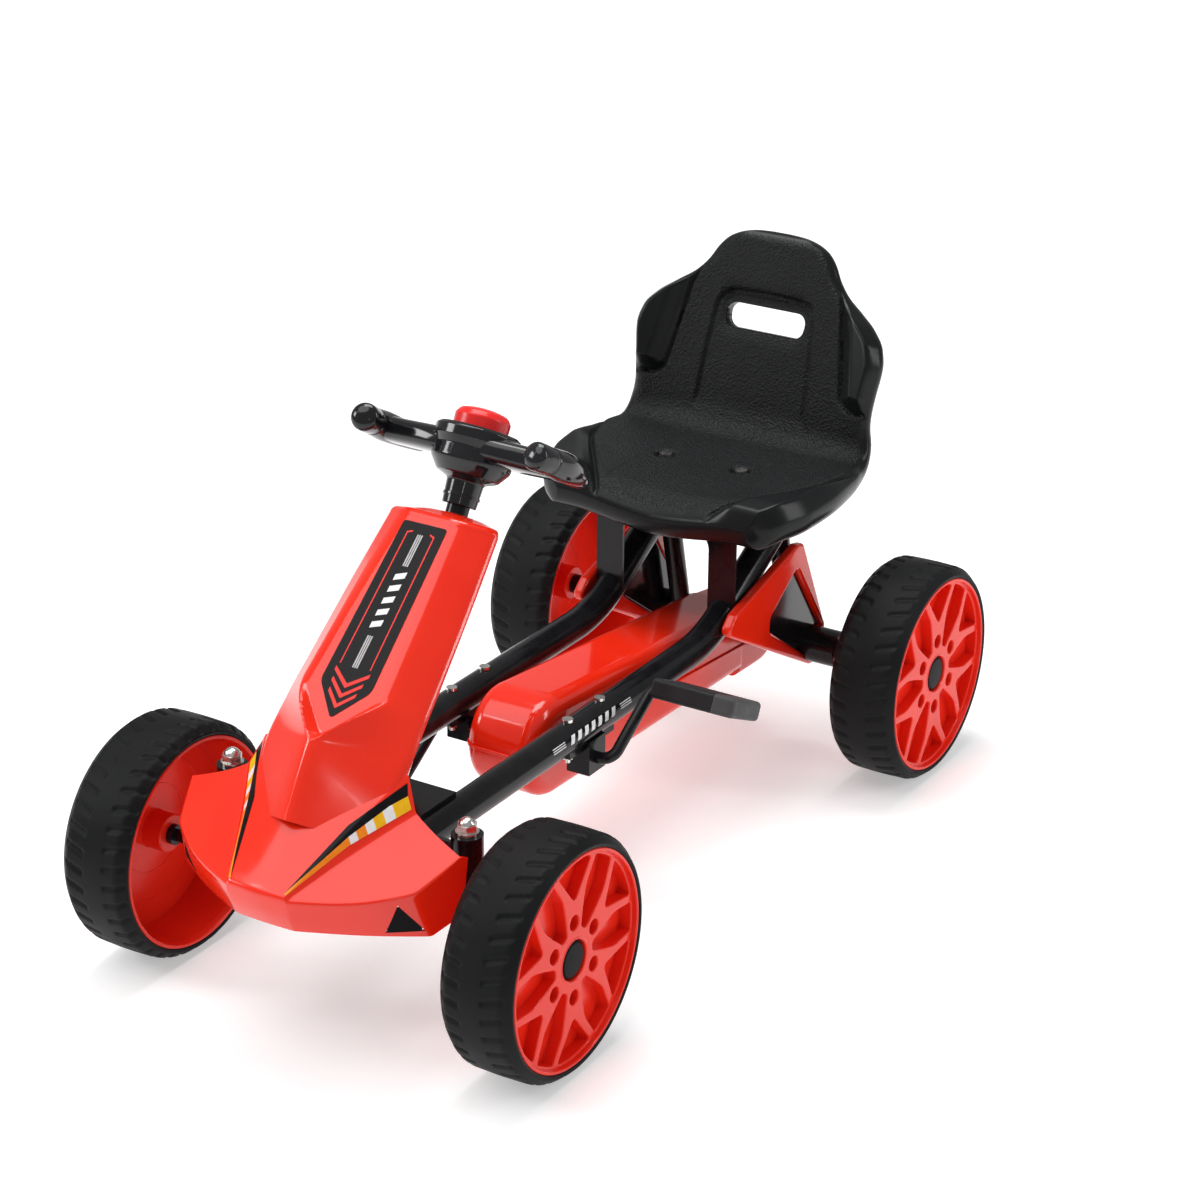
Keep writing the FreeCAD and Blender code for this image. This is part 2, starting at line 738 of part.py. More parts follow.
def above_seam():
    """Block over the plane through both axles, where the two shells meet."""
    rise = (AXLE_Z - CRANK_Z) / (REAR_AXLE_Y - CRANK_Y)
    ends = (-300.0, 600.0)
    heights = [CRANK_Z + rise * (y - CRANK_Y) for y in ends]
    points = [vec(-100, ends[0], heights[0]), vec(-100, ends[1], heights[1]),
              vec(-100, ends[1], 400), vec(-100, ends[0], 400)]
    return Part.Face(polygon(points)).extrude(vec(200, 0, 0))


def chain_guard_upper():
    return largest(guard_shell().common(above_seam()))


def chain_guard_lower():
    return largest(guard_shell().cut(above_seam()))


# ---------------------------------------------------------------- rear axle


def rear_axle_shaft():
    return rod(AXLE_RADIUS, rear_axle_point(-AXLE_END), rear_axle_point(AXLE_END))


def rear_sprocket():
    centre = rear_axle_point(0)
    hub = rod(13.0, centre - vec(9, 0, 0), centre + vec(9, 0, 0))
    wheel = sprocket(AXLE_TEETH, 3.0, centre).fuse(hub).removeSplitter()
    return wheel.cut(rod(AXLE_RADIUS, centre - vec(20, 0, 0), centre + vec(20, 0, 0)))


def axle_spacers():
    """Collars on the shaft between each housing and its wheel."""
    collar = ring(11.0, AXLE_RADIUS, rear_axle_point(HOUSING_X[1] + 0.5), rear_axle_point(HUB_INNER_X - 0.5))
    return [collar, mirrored(collar)]


# ---------------------------------------------------------------- wheels


def turned(profile, y):
    """Solid turned round a wheel's axle; profile points are (x, radius)."""
    axis = vec(0, y, AXLE_Z)
    points = [axis + vec(x, 0, radius) for x, radius in profile]
    return Part.Face(polygon(points)).revolve(axis, vec(1, 0, 0), 360)


def tyre(side, y):
    half = TYRE_WIDTH / 2
    shoulder = 7.0
    profile = [(WHEEL_X - half, RIM_RADIUS), (WHEEL_X - half, TYRE_RADIUS - shoulder),
               (WHEEL_X - half + 3, TYRE_RADIUS - 2), (WHEEL_X - half + shoulder + 3, TYRE_RADIUS),
               (WHEEL_X + half - shoulder - 3, TYRE_RADIUS), (WHEEL_X + half - 3, TYRE_RADIUS - 2),
               (WHEEL_X + half, TYRE_RADIUS - shoulder), (WHEEL_X + half, RIM_RADIUS)]
    return on_side(turned(profile, y), side)


def rim_bar(y, start, end, half_width):
    """Raised bar on the web between two places given as (radius, degrees)."""
    def at(radius, degrees):
        turn = math.radians(degrees)
        return vec(WEB_X[1] - 1, y, AXLE_Z) + vec(0, math.cos(turn), math.sin(turn)) * radius

    first = at(*start)
    last = at(*end)
    across = unit((last - first).cross(vec(1, 0, 0))) * half_width
    corners = [first - across, last - across, last + across, first + across]
    return Part.Face(polygon(corners)).extrude(vec(RIB_TOP_X - WEB_X[1] + 1, 0, 0))


def rim(side, y, bore_radius):
    """Moulded rim: barrel, closed web, hub and six V spokes on short stems."""
    half = TYRE_WIDTH / 2 - 1
    barrel = [(WHEEL_X - half, BARREL_INNER), (WHEEL_X - half, RIM_RADIUS),
              (WHEEL_X + half, RIM_RADIUS), (WHEEL_X + half, BARREL_INNER)]
    web = [(WEB_X[0], HUB_RADIUS - 5), (WEB_X[0], BARREL_INNER + 1),
           (WEB_X[1], BARREL_INNER + 1), (WEB_X[1], HUB_RADIUS - 5)]
    hub = rod(HUB_RADIUS, vec(HUB_INNER_X, y, AXLE_Z), vec(HUB_OUTER_X, y, AXLE_Z))
    pieces = [turned(barrel, y), turned(web, y), hub]
    for spoke in range(SPOKES):
        angle = 30 + spoke * 360 / SPOKES
        pieces.append(rim_bar(y, (HUB_RADIUS - 3, angle), (STEM_END, angle), STEM_HALF))
        for spread in (-SPOKE_SPREAD, SPOKE_SPREAD):
            pieces.append(rim_bar(y, (STEM_END - 4, angle), (BARREL_INNER + 2, angle + spread), 4.5))
    wheel = fused(pieces)
    outer = rod(RIM_RADIUS, vec(WHEEL_X - 60, y, AXLE_Z), vec(WHEEL_X + 60, y, AXLE_Z))
    wheel = wheel.common(outer)
    bore = rod(bore_radius, vec(HUB_INNER_X - 1, y, AXLE_Z), vec(RIB_TOP_X + 1, y, AXLE_Z))
    pocket = rod(NUT_POCKET, vec(HUB_OUTER_X - 10, y, AXLE_Z), vec(RIB_TOP_X + 1, y, AXLE_Z))
    cap_seat = rod(CAP_RADIUS, vec(HUB_OUTER_X, y, AXLE_Z), vec(RIB_TOP_X + 1, y, AXLE_Z))
    wheel = wheel.cut(bore).cut(pocket).cut(cap_seat)
    return on_side(largest(wheel), side)


def hub_cap(side, y):
    """Domed cap that hides the axle nut."""
    profile = [(HUB_OUTER_X, 0), (HUB_OUTER_X, CAP_RADIUS - 0.1), (HUB_OUTER_X + 3, CAP_RADIUS - 0.1),
               (HUB_OUTER_X + 5, CAP_RADIUS - 3), (HUB_OUTER_X + 6, 0)]
    return on_side(turned(profile, y), side)


def wheel_nut(side, y, radius):
    """Lock nut inside the hub's pocket."""
    nut = hexagon(17.0, vec(HUB_OUTER_X - 9.5, y, AXLE_Z), vec(HUB_OUTER_X - 1, y, AXLE_Z))
    shaft = rod(radius, vec(0, y, AXLE_Z), vec(AXLE_END, y, AXLE_Z))
    return on_side(nut.cut(shaft), side)


# ---------------------------------------------------------------- front knuckles and steering


def stub_axle(side):
    """Kingpin bent into the wheel's axle, with the steering arm welded to it."""
    pin = [vec(KINGPIN_X, FRONT_AXLE_Y, SLEEVE_TOP + 12), vec(KINGPIN_X, FRONT_AXLE_Y, AXLE_Z),
           vec(AXLE_END, FRONT_AXLE_Y, AXLE_Z)]
    axle = bent_rod(pin, [14.0], STUB_RADIUS)
    collar = rod(10.0, vec(HUB_INNER_X - 6.5, FRONT_AXLE_Y, AXLE_Z),
                 vec(HUB_INNER_X - 0.5, FRONT_AXLE_Y, AXLE_Z))
    outline = [(-12, -12), (12, -12), (9, ARM_LENGTH + 9), (-9, ARM_LENGTH + 9)]
    points = [vec(KINGPIN_X + x, FRONT_AXLE_Y + y, ARM_Z[0]) for x, y in outline]
    arm = slab(points, [8, 8, 7, 7], vec(0, 0, ARM_Z[1] - ARM_Z[0]))
    tip = vec(KINGPIN_X, FRONT_AXLE_Y + ARM_LENGTH, LINK_Z - 5)
    stud = rod(4.0, tip, vec(tip.x, tip.y, ARM_Z[1] + 1))
    return on_side(fused([axle, collar, arm, stud]), side)


def knuckle_nuts(side):
    """Domed kingpin nut with its washer, and the front wheel's lock nut."""
    base = vec(KINGPIN_X, FRONT_AXLE_Y, SLEEVE_TOP + 0.2)
    washer = rod(11.0, base, base + vec(0, 0, 3))
    nut_foot = base + vec(0, 0, 3)
    nut = hexagon(17.0, nut_foot, nut_foot + vec(0, 0, 7))
    dome = Part.makeSphere(8.3, nut_foot + vec(0, 0, 5))
    dome = dome.common(block((100, -380, nut_foot.z), (160, -320, 260)))
    pin = rod(KINGPIN_RADIUS, vec(KINGPIN_X, FRONT_AXLE_Y, 100),
              vec(KINGPIN_X, FRONT_AXLE_Y, SLEEVE_TOP + 12))
    cap = fused([washer, nut, dome]).cut(pin)
    return [on_side(cap, side), wheel_nut(side, FRONT_AXLE_Y, STUB_RADIUS)]


def pitman_pin():
    """Where each tie rod meets the plate at the column's foot."""
    up = (LINK_Z - COLUMN_FOOT.z + PITMAN_LENGTH * math.sin(RAKE)) / math.cos(RAKE)
    return column_point(LINK_X, PITMAN_LENGTH, up), up


def pitman_plate():
    """Triangular plate on the column's foot that pulls both tie rods."""
    _, up = pitman_pin()
    low = up + 7.0
    outline = [(-14, -14), (14, -14), (LINK_X + 9, PITMAN_LENGTH + 9), (-LINK_X - 9, PITMAN_LENGTH + 9)]
    points = [column_point(x, back, low) for x, back in outline]
    plate = slab(points, [8, 8, 7, 7], COLUMN_UP * 4)
    plate = plate.cut(rod(COLUMN_RADIUS, column_point(0, 0, -120), column_point(0, 0, 20)))
    studs = [rod(3.0, column_point(x, PITMAN_LENGTH, up - 4), column_point(x, PITMAN_LENGTH, low + 5))
             for x in (LINK_X, -LINK_X)]
    return fused([plate] + studs)


def tie_rod(side):
    """Rod from the steering arm's stud to the loose eye under the pitman plate."""
    pin, _ = pitman_pin()
    outer = vec(KINGPIN_X, FRONT_AXLE_Y + ARM_LENGTH, LINK_Z)
    height = vec(0, 0, 3)
    raked = COLUMN_UP * 3
    link = rod(4.0, pin, outer)
    outer_eye = rod(9.0, outer - height, outer + height)
    inner_eye = rod(9.5, pin - raked, pin + raked)
    link = fused([link, outer_eye, inner_eye])
    link = link.cut(rod(4.0 + RUNNING_CLEARANCE, outer - height * 3, outer + height * 3))
    link = link.cut(rod(LOOSE_EYE_RADIUS, pin - raked * 3, pin + raked * 3))
    return on_side(link, side)


def steering_column():
    _, up = pitman_pin()
    return rod(COLUMN_RADIUS, column_point(0, 0, up + 4), column_point(0, 0, 312))


def wheel_turned(profile):
    """Solid turned round the column; profile points are (radius, up)."""
    points = [column_point(radius, 0, up) for radius, up in profile]
    return Part.Face(polygon(points)).revolve(COLUMN_FOOT, COLUMN_UP, 360)


def grip(side):
    """Curved side grip with rounded ends."""
    ends = [column_point(93, -57, GRIP_W), column_point(99, 0, GRIP_W), column_point(85, 56, GRIP_W)]
    path = Part.Wire(Part.Arc(*ends).toShape())
    start = path.Edges[0].tangentAt(path.Edges[0].FirstParameter)
    circle = Part.Wire(Part.makeCircle(GRIP_RADIUS, ends[0], start))
    bar = path.makePipeShell([circle], True, False)
    knobs = [Part.makeSphere(GRIP_RADIUS + 0.8, ends[0]), Part.makeSphere(GRIP_RADIUS + 0.3, ends[2])]
    return on_side(fused([bar] + knobs), side)


def spoke():
    outline = [(-97, -15), (-30, -24), (30, -24), (97, -15), (97, 17), (30, 26), (-30, 26), (-97, 17)]
    points = [column_point(x, back, GRIP_W - 8) for x, back in outline]
    return slab(points, 5.0, COLUMN_UP * 15)


def steering_wheel():
    """Yoke: neck, bowl and disc round the column, a cross spoke and two grips."""
    body = wheel_turned([(0, 276), (16, 276), (18, 299), (30, 304), (39, 316), (38, 330),
                         (41.5, 338), (41.5, 347), (38, 350), (0, 350)])
    yoke = fused([body, spoke(), grip("left"), grip("right")])
    yoke = yoke.cut(rod(COLUMN_RADIUS, column_point(0, 0, 260), column_point(0, 0, 312)))
    return yoke.cut(rod(BUTTON_RADIUS + 0.6, column_point(0, 0, 343), column_point(0, 0, 360)))


def horn_button():
    """Domed push button that stands in a well in the yoke's disc."""
    return wheel_turned([(0, 349), (BUTTON_RADIUS, 349), (BUTTON_RADIUS, 361),
                         (24, 366), (14, 369), (0, 370)])


# ---------------------------------------------------------------- write every node
def nodes():
    """Every sub-part by name: one solid, or a list of separate ones."""
    made = {
        "front_cross_tube": front_cross_tube(),
        "column_support_plate": column_support_plate(),
        "column_bushes": column_bushes(),
        "column_cover_front": column_cover_front(),
        "column_cover_rear": column_cover_rear(),
        "nose_bumper": nose_bumper(),
        "nose_vent_inserts": nose_vent_inserts(),
        "nose_brackets": nose_brackets(),
        "seat_bracket": seat_bracket(),
        "seat_shell": seat_shell(),
        "seat_bolts": seat_bolts(),
        "axle_bearings": axle_bearings(),
        "crank_bearing_bolts": crank_bearing_bolts(),
        "chain_guard_upper": chain_guard_upper(),
        "chain_guard_lower": chain_guard_lower(),
        "drive_chain": drive_chain(),
        "steering_column": steering_column(),
        "steering_wheel": steering_wheel(),
        "horn_button": horn_button(),
        "pitman_plate": pitman_plate(),
        "crankshaft": crankshaft(),
        "crank_sprocket": crank_sprocket(),
        "rear_axle_shaft": rear_axle_shaft(),
        "rear_sprocket": rear_sprocket(),
        "axle_spacers": axle_spacers(),
        "rear_wheel_nuts": [wheel_nut(side, REAR_AXLE_Y, AXLE_RADIUS) for side in SIDES],
    }
    for side in SIDES:
        made["frame_rail_" + side] = frame_rail(side)
        made["rear_stay_" + side] = rear_stay(side)
        made["axle_housing_" + side] = axle_housing(side)
        made["rear_cover_" + side] = rear_cover(side)
        made["rear_inset_" + side] = rear_inset(side)
        made["crank_bearing_" + side] = crank_bearing(side)
        made["pedal_" + side] = pedal(side)
        made["pedal_cap_" + side] = pedal_cap(side)
        made["stub_axle_" + side] = stub_axle(side)
        made["knuckle_nuts_" + side] = knuckle_nuts(side)
        made["tie_rod_" + side] = tie_rod(side)
        for end, y, shaft in (("front", FRONT_AXLE_Y, STUB_RADIUS), ("rear", REAR_AXLE_Y, AXLE_RADIUS)):
            name = end + "_" + side
            made["tyre_" + name] = tyre(side, y)
            made["rim_" + name] = rim(side, y, shaft + RUNNING_CLEARANCE)
            made["hub_cap_" + name] = hub_cap(side, y)
    return made


def write(name, shape):
    solids = shape if isinstance(shape, list) else [shape]
    body = solids[0] if len(solids) == 1 else Part.makeCompound(solids)
    body.exportStep("parts/" + name + ".step")
    volume = sum(solid.Volume for solid in solids)
    print(name, "solids", len(body.Solids), "valid", body.isValid(), "volume", round(volume))


os.makedirs("parts", exist_ok=True)
for node_name, node_shape in nodes().items():
    write(node_name, node_shape)
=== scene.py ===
import json
import math

import bmesh
import bpy
from mathutils import Matrix, Vector
from mathutils.bvhtree import BVHTree


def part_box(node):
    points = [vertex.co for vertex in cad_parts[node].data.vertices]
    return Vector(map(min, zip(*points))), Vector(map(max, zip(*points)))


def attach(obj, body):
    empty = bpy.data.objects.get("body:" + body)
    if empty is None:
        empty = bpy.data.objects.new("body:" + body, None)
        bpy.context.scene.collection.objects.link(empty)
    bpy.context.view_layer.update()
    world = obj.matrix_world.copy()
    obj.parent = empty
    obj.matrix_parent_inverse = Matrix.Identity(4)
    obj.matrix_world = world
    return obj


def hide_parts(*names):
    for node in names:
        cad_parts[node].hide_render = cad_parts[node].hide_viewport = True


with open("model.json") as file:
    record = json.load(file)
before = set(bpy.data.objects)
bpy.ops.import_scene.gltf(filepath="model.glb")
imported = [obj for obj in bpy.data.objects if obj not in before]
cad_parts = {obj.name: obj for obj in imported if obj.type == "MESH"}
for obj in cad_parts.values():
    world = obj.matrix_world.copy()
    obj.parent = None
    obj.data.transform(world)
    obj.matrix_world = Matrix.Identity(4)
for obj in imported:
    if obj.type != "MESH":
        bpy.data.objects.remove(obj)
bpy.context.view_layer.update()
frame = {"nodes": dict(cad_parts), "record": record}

# Lengths in this script are millimetres in the kart's own frame: +Z up, nose to -Y, the kart's left to +X.
# Meshes are built at that size and scaled to metres once, in make_mesh.
MM = 0.001
SIDES = {"left": 1, "right": -1}


def middle(node):
    """Middle of a CAD node's box, in millimetres."""
    low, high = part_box(node)
    return (low + high) * 0.5 / MM


FRONT_WHEEL = middle("tyre_front_left")
REAR_WHEEL = middle("tyre_rear_left")
WHEEL_X = FRONT_WHEEL.x
AXLE_Z = FRONT_WHEEL.z
AXLE_Y = {"front": FRONT_WHEEL.y, "rear": REAR_WHEEL.y}
TYRE_RADIUS = (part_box("tyre_front_left")[1].z / MM) - AXLE_Z
TYRE_HALF = (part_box("tyre_front_left")[1].x / MM) - WHEEL_X
RIM_RADIUS = (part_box("rim_front_left")[1].z / MM) - AXLE_Z
BODY_OF = {
    ("front", "left"): "front_wheel_left",
    ("front", "right"): "front_wheel_right",
    ("rear", "left"): "rear_wheel_left",
    ("rear", "right"): "rear_axle",
}


# ---------------------------------------------------------------- small geometry
def clamp(value, low=0.0, high=1.0):
    """Value kept between low and high."""
    return max(low, min(high, value))


def smooth_step(value, start, end):
    """0 before start, 1 after end, with an eased ramp between."""
    t = clamp((value - start) / (end - start))
    return t * t * (3 - 2 * t)


def blend_values(a, b, t):
    """Value a share t of the way from a to b."""
    return a + (b - a) * t


def ramp(points, x):
    """Smooth monotone curve through (x, y) points, flat beyond the ends."""
    if x <= points[0][0]:
        return points[0][1]
    if x >= points[-1][0]:
        return points[-1][1]
    slopes = []
    for (x0, y0), (x1, y1) in zip(points, points[1:]):
        slopes.append((y1 - y0) / (x1 - x0))
    tangents = [slopes[0]]
    for before, after in zip(slopes, slopes[1:]):
        if before * after <= 0:
            tangents.append(0.0)
        else:
            tangents.append(2 * before * after / (before + after))
    tangents.append(slopes[-1])
    for i, ((x0, y0), (x1, y1)) in enumerate(zip(points, points[1:])):
        if x <= x1:
            h = x1 - x0
            t = (x - x0) / h
            a = (1 + 2 * t) * (1 - t) ** 2
            b = t * (1 - t) ** 2
            c = t * t * (3 - 2 * t)
            d = t * t * (t - 1)
            return a * y0 + b * h * tangents[i] + c * y1 + d * h * tangents[i + 1]
    return points[-1][1]


def rounded_path(points, radii, closed=True, steps=6):
    """2-D polyline with each corner turned into an arc of its radius."""
    count = len(points)
    if not hasattr(radii, "__len__"):
        radii = [radii] * count
    out = []
    for i, point in enumerate(points):
        here = Vector(point)
        radius = radii[i]
        if (not closed and i in (0, count - 1)) or radius <= 0:
            out.append(tuple(here))
            continue
        before = Vector(points[i - 1]) - here
        after = Vector(points[(i + 1) % count]) - here
        turn = before.angle(after)
        if turn > math.pi - 0.01:
            out.append(tuple(here))
            continue
        reach = radius / math.tan(turn / 2)
        reach = min(reach, before.length * 0.49, after.length * 0.49)
        radius = reach * math.tan(turn / 2)
        bisector = (before.normalized() + after.normalized()).normalized()
        centre = here + bisector * (radius / math.sin(turn / 2))
        start = here + before.normalized() * reach - centre
        sweep = start.angle_signed(here + after.normalized() * reach - centre)
        for step in range(steps + 1):
            rotated = start.copy()
            rotated.rotate(Matrix.Rotation(-sweep * step / steps, 2))
            out.append(tuple(centre + rotated))
    return out


def circle_points(radius, count=32, centre=(0.0, 0.0)):
    """Corners of a circle as 2-D points."""
    return [(centre[0] + radius * math.cos(math.tau * i / count),
             centre[1] + radius * math.sin(math.tau * i / count)) for i in range(count)]


# ---------------------------------------------------------------- mesh pieces
def link(obj):
    """Puts the object in the scene."""
    bpy.context.scene.collection.objects.link(obj)
    return obj


def make_mesh(name, points, faces, outward=True):
    """Mesh object from millimetre points, smooth-shaded, with its normals turned outward."""
    mesh = bpy.data.meshes.new(name)
    mesh.from_pydata([Vector(p) * MM for p in points], [], faces)
    mesh.validate()
    work = bmesh.new()
    work.from_mesh(mesh)
    bmesh.ops.remove_doubles(work, verts=work.verts, dist=1e-6)
    if outward:
        bmesh.ops.recalc_face_normals(work, faces=work.faces)
    work.to_mesh(mesh)
    work.free()
    mesh.shade_smooth()
    return link(bpy.data.objects.new(name, mesh))


def apply_modifiers(obj):
    """Turns the object's modifiers into plain mesh."""
    graph = bpy.context.evaluated_depsgraph_get()
    mesh = bpy.data.meshes.new_from_object(obj.evaluated_get(graph), depsgraph=graph)
    obj.modifiers.clear()
    obj.data = mesh
    return obj


def crisp(obj, angle=35.0):
    """Sharp where faces meet at more than the angle, smooth elsewhere, flats kept flat."""
    obj.data.shade_smooth()
    obj.data.set_sharp_from_angle(angle=math.radians(angle))
    weighted = obj.modifiers.new("weighted", "WEIGHTED_NORMAL")
    weighted.keep_sharp = True
    weighted.weight = 70
    return apply_modifiers(obj)


def lathe(name, profile, centre, axis, steps=96, sharp=40.0):
    """Closed solid of revolution. profile is (radius, along the axis) points in millimetres."""
    axis = Vector(axis).normalized()
    side = axis.orthogonal().normalized()
    other = axis.cross(side)
    centre = Vector(centre)
    points = []
    faces = []
    rows = len(profile)
    for step in range(steps):
        angle = math.tau * step / steps
        out = side * math.cos(angle) + other * math.sin(angle)
        for radius, along in profile:
            points.append(centre + axis * along + out * radius)
    for step in range(steps):
        after = (step + 1) % steps
        for row in range(rows - 1):
            faces.append((step * rows + row, step * rows + row + 1,
                          after * rows + row + 1, after * rows + row))
        if profile[0][0] > 1e-6 and profile[-1][0] > 1e-6:
            faces.append((step * rows + rows - 1, step * rows, after * rows, after * rows + rows - 1))
    obj = make_mesh(name, points, faces)
    return crisp(obj, sharp)


def plate(name, outer, holes, low, high, round_over, place, steps=4):
    """Plate cut from a 2-D outline with holes, its edges rounded over. place maps (u, v, height) to a point."""
    curve = bpy.data.curves.new(name, "CURVE")
    curve.dimensions = "2D"
    curve.fill_mode = "BOTH"
    curve.extrude = (high - low) / 2 - round_over
    curve.bevel_depth = round_over
    curve.bevel_resolution = steps - 1
    curve.offset = -round_over
    for loop in [outer] + holes:
        spline = curve.splines.new("POLY")
        spline.points.add(len(loop) - 1)
        for point, (u, v) in zip(spline.points, loop):
            point.co = (u, v, 0, 1)
        spline.use_cyclic_u = True
    source = link(bpy.data.objects.new(name + "_outline", curve))
    graph = bpy.context.evaluated_depsgraph_get()
    mesh = bpy.data.meshes.new_from_object(source.evaluated_get(graph), depsgraph=graph)
    lift = (high + low) / 2
    points = [place(v.co.x, v.co.y, v.co.z + lift) for v in mesh.vertices]
    faces = [tuple(face.vertices) for face in mesh.polygons]
    bpy.data.objects.remove(source)
    bpy.data.curves.remove(curve)
    bpy.data.meshes.remove(mesh)
    return crisp(make_mesh(name, points, faces), 38)


def grid_faces(rows, columns, start=0, wrap=False):
    """Quads between the rows of a grid of points."""
    faces = []
    for i in range(rows - 1):
        for j in range(columns if wrap else columns - 1):
            k = (j + 1) % columns
            a = start + i * columns
            faces.append((a + j, a + k, a + columns + k, a + columns + j))
    return faces


def join(name, pieces):
    """One object from several, with its points where they are."""
    work = bmesh.new()
    for piece in pieces:
        work.from_mesh(piece.data)
    mesh = bpy.data.meshes.new(name)
    work.to_mesh(mesh)
    work.free()
    for piece in pieces:
        bpy.data.objects.remove(piece)
    return crisp(link(bpy.data.objects.new(name, mesh)), 40)


def settle(obj, body, slot, material, *nodes):
    """Gives a finished piece its material and body, and hides the CAD nodes it stands for. The slot argument is
    not used.
    """
    obj.data.materials.clear()
    obj.data.materials.append(material)
    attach(obj, body)
    if nodes:
        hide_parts(*nodes)
    return obj


def face_towards(obj, direction):
    """Turns an open sheet over when it faces away from the direction."""
    facing = sum((face.normal * face.area for face in obj.data.polygons), Vector())
    if facing.dot(direction) < 0:
        obj.data.flip_normals()


def surface_of(obj):
    """Search tree over the object's mesh, in millimetres."""
    points = [v.co / MM for v in obj.data.vertices]
    return BVHTree.FromPolygons(points, [tuple(f.vertices) for f in obj.data.polygons])


def loft(name, rings, sharp=45.0):
    """Closed solid through rings of equal size."""
    size = len(rings[0])
    points = [p for ring in rings for p in ring]
    faces = grid_faces(len(rings), size, 0, wrap=True)
    faces.append(tuple(range(size)))
    faces.append(tuple((len(rings) - 1) * size + j for j in range(size)))
    return crisp(make_mesh(name, points, faces), sharp)


def subtract(obj, tool):
    """Removes the tool's volume from the object and deletes the tool."""
    boolean = obj.modifiers.new("cut", "BOOLEAN")
    boolean.operation = "DIFFERENCE"
    boolean.solver = "EXACT"
    boolean.object = tool
    apply_modifiers(obj)
    bpy.data.objects.remove(tool)


def cut(obj, *tools):
    """Removes each tool's volume and sharpens the edges that this leaves."""
    for tool in tools:
        subtract(obj, tool)
    return crisp(obj, 38)


def thicken(obj, wall, sharp=38.0):
    """Gives an open sheet a wall on its inner side."""
    solid = obj.modifiers.new("wall", "SOLIDIFY")
    solid.thickness = wall * MM
    solid.offset = -1
    solid.use_even_offset = False
    return crisp(apply_modifiers(obj), sharp)


# ---------------------------------------------------------------- materials
def new_material(name):
    """Node material with its tree and shader."""
    material = bpy.data.materials.new(name)
    material.use_nodes = True
    tree = material.node_tree
    shader = tree.nodes["Principled BSDF"]
    return material, tree, shader


def add_noise(tree, scale, detail=4.0, roughness=0.55):
    """Noise texture in the object's own coordinates."""
    coordinates = tree.nodes.new("ShaderNodeTexCoord")
    noise = tree.nodes.new("ShaderNodeTexNoise")
    noise.inputs["Scale"].default_value = scale
    noise.inputs["Detail"].default_value = detail
    noise.inputs["Roughness"].default_value = roughness
    tree.links.new(coordinates.outputs["Object"], noise.inputs["Vector"])
    return noise


def add_cells(tree, scale):
    """Pebble pattern, as the distance to the nearest of scattered points."""
    coordinates = tree.nodes.new("ShaderNodeTexCoord")
    cells = tree.nodes.new("ShaderNodeTexVoronoi")
    cells.inputs["Scale"].default_value = scale
    tree.links.new(coordinates.outputs["Object"], cells.inputs["Vector"])
    return cells.outputs["Distance"]


def combine(tree, operation, first, second):
    """Adds or multiplies two values."""
    node = tree.nodes.new("ShaderNodeMath")
    node.operation = operation
    tree.links.new(first, node.inputs[0])
    tree.links.new(second, node.inputs[1])
    return node.outputs["Value"]


def spread(tree, source, low, high, start=0.3, end=0.7):
    """Maps a texture's middle range onto low..high."""
    node = tree.nodes.new("ShaderNodeMapRange")
    node.inputs["From Min"].default_value = start
    node.inputs["From Max"].default_value = end
    node.inputs["To Min"].default_value = low
    node.inputs["To Max"].default_value = high
    tree.links.new(source, node.inputs["Value"])
    return node.outputs["Result"]


def two_tone(tree, factor, dark, light):
    """Colour between dark and light by a factor."""
    mix = tree.nodes.new("ShaderNodeMix")
    mix.data_type = "RGBA"
    mix.inputs["A"].default_value = (*dark, 1)
    mix.inputs["B"].default_value = (*light, 1)
    tree.links.new(factor, mix.inputs["Factor"])
    return mix.outputs["Result"]


def add_bump(tree, shader, height, strength, distance):
    """Adds a bump after any bump that the shader already has."""
    bump = tree.nodes.new("ShaderNodeBump")
    bump.inputs["Strength"].default_value = strength
    bump.inputs["Distance"].default_value = distance
    tree.links.new(height, bump.inputs["Height"])
    before = shader.inputs["Normal"]
    if before.is_linked:
        tree.links.new(before.links[0].from_socket, bump.inputs["Normal"])
    tree.links.new(bump.outputs["Normal"], shader.inputs["Normal"])


def edge_mask(tree, start, end):
    """1 on worn convex edges, 0 on flats, broken up by noise."""
    geometry = tree.nodes.new("ShaderNodeNewGeometry")
    edges = spread(tree, geometry.outputs["Pointiness"], 0.0, 1.0, start, end)
    breaks = spread(tree, add_noise(tree, 90.0).outputs["Fac"], 0.0, 1.0, 0.45, 0.65)
    return combine(tree, "MULTIPLY", edges, breaks)


def gloss_plastic(name, dark, light, rough=(0.10, 0.17), coat=0.2, flow=0.08, specular=0.4):
    """Injection-moulded gloss: faint colour drift, a slow surface wave and fine rub marks."""
    material, tree, shader = new_material(name)
    drift = add_noise(tree, 9.0, 2.0)
    tree.links.new(two_tone(tree, spread(tree, drift.outputs["Fac"], 0, 1), dark, light),
                   shader.inputs["Base Color"])
    rubs = add_noise(tree, 60.0, 6.0, 0.7)
    tree.links.new(spread(tree, rubs.outputs["Fac"], *rough), shader.inputs["Roughness"])
    add_bump(tree, shader, add_noise(tree, 22.0, 1.0).outputs["Fac"], flow, 0.002)
    add_bump(tree, shader, add_noise(tree, 900.0, 2.0).outputs["Fac"], 0.02, 0.0002)
    shader.inputs["Coat Weight"].default_value = coat
    shader.inputs["Coat Roughness"].default_value = 0.04
    shader.inputs["Specular IOR Level"].default_value = specular
    return material


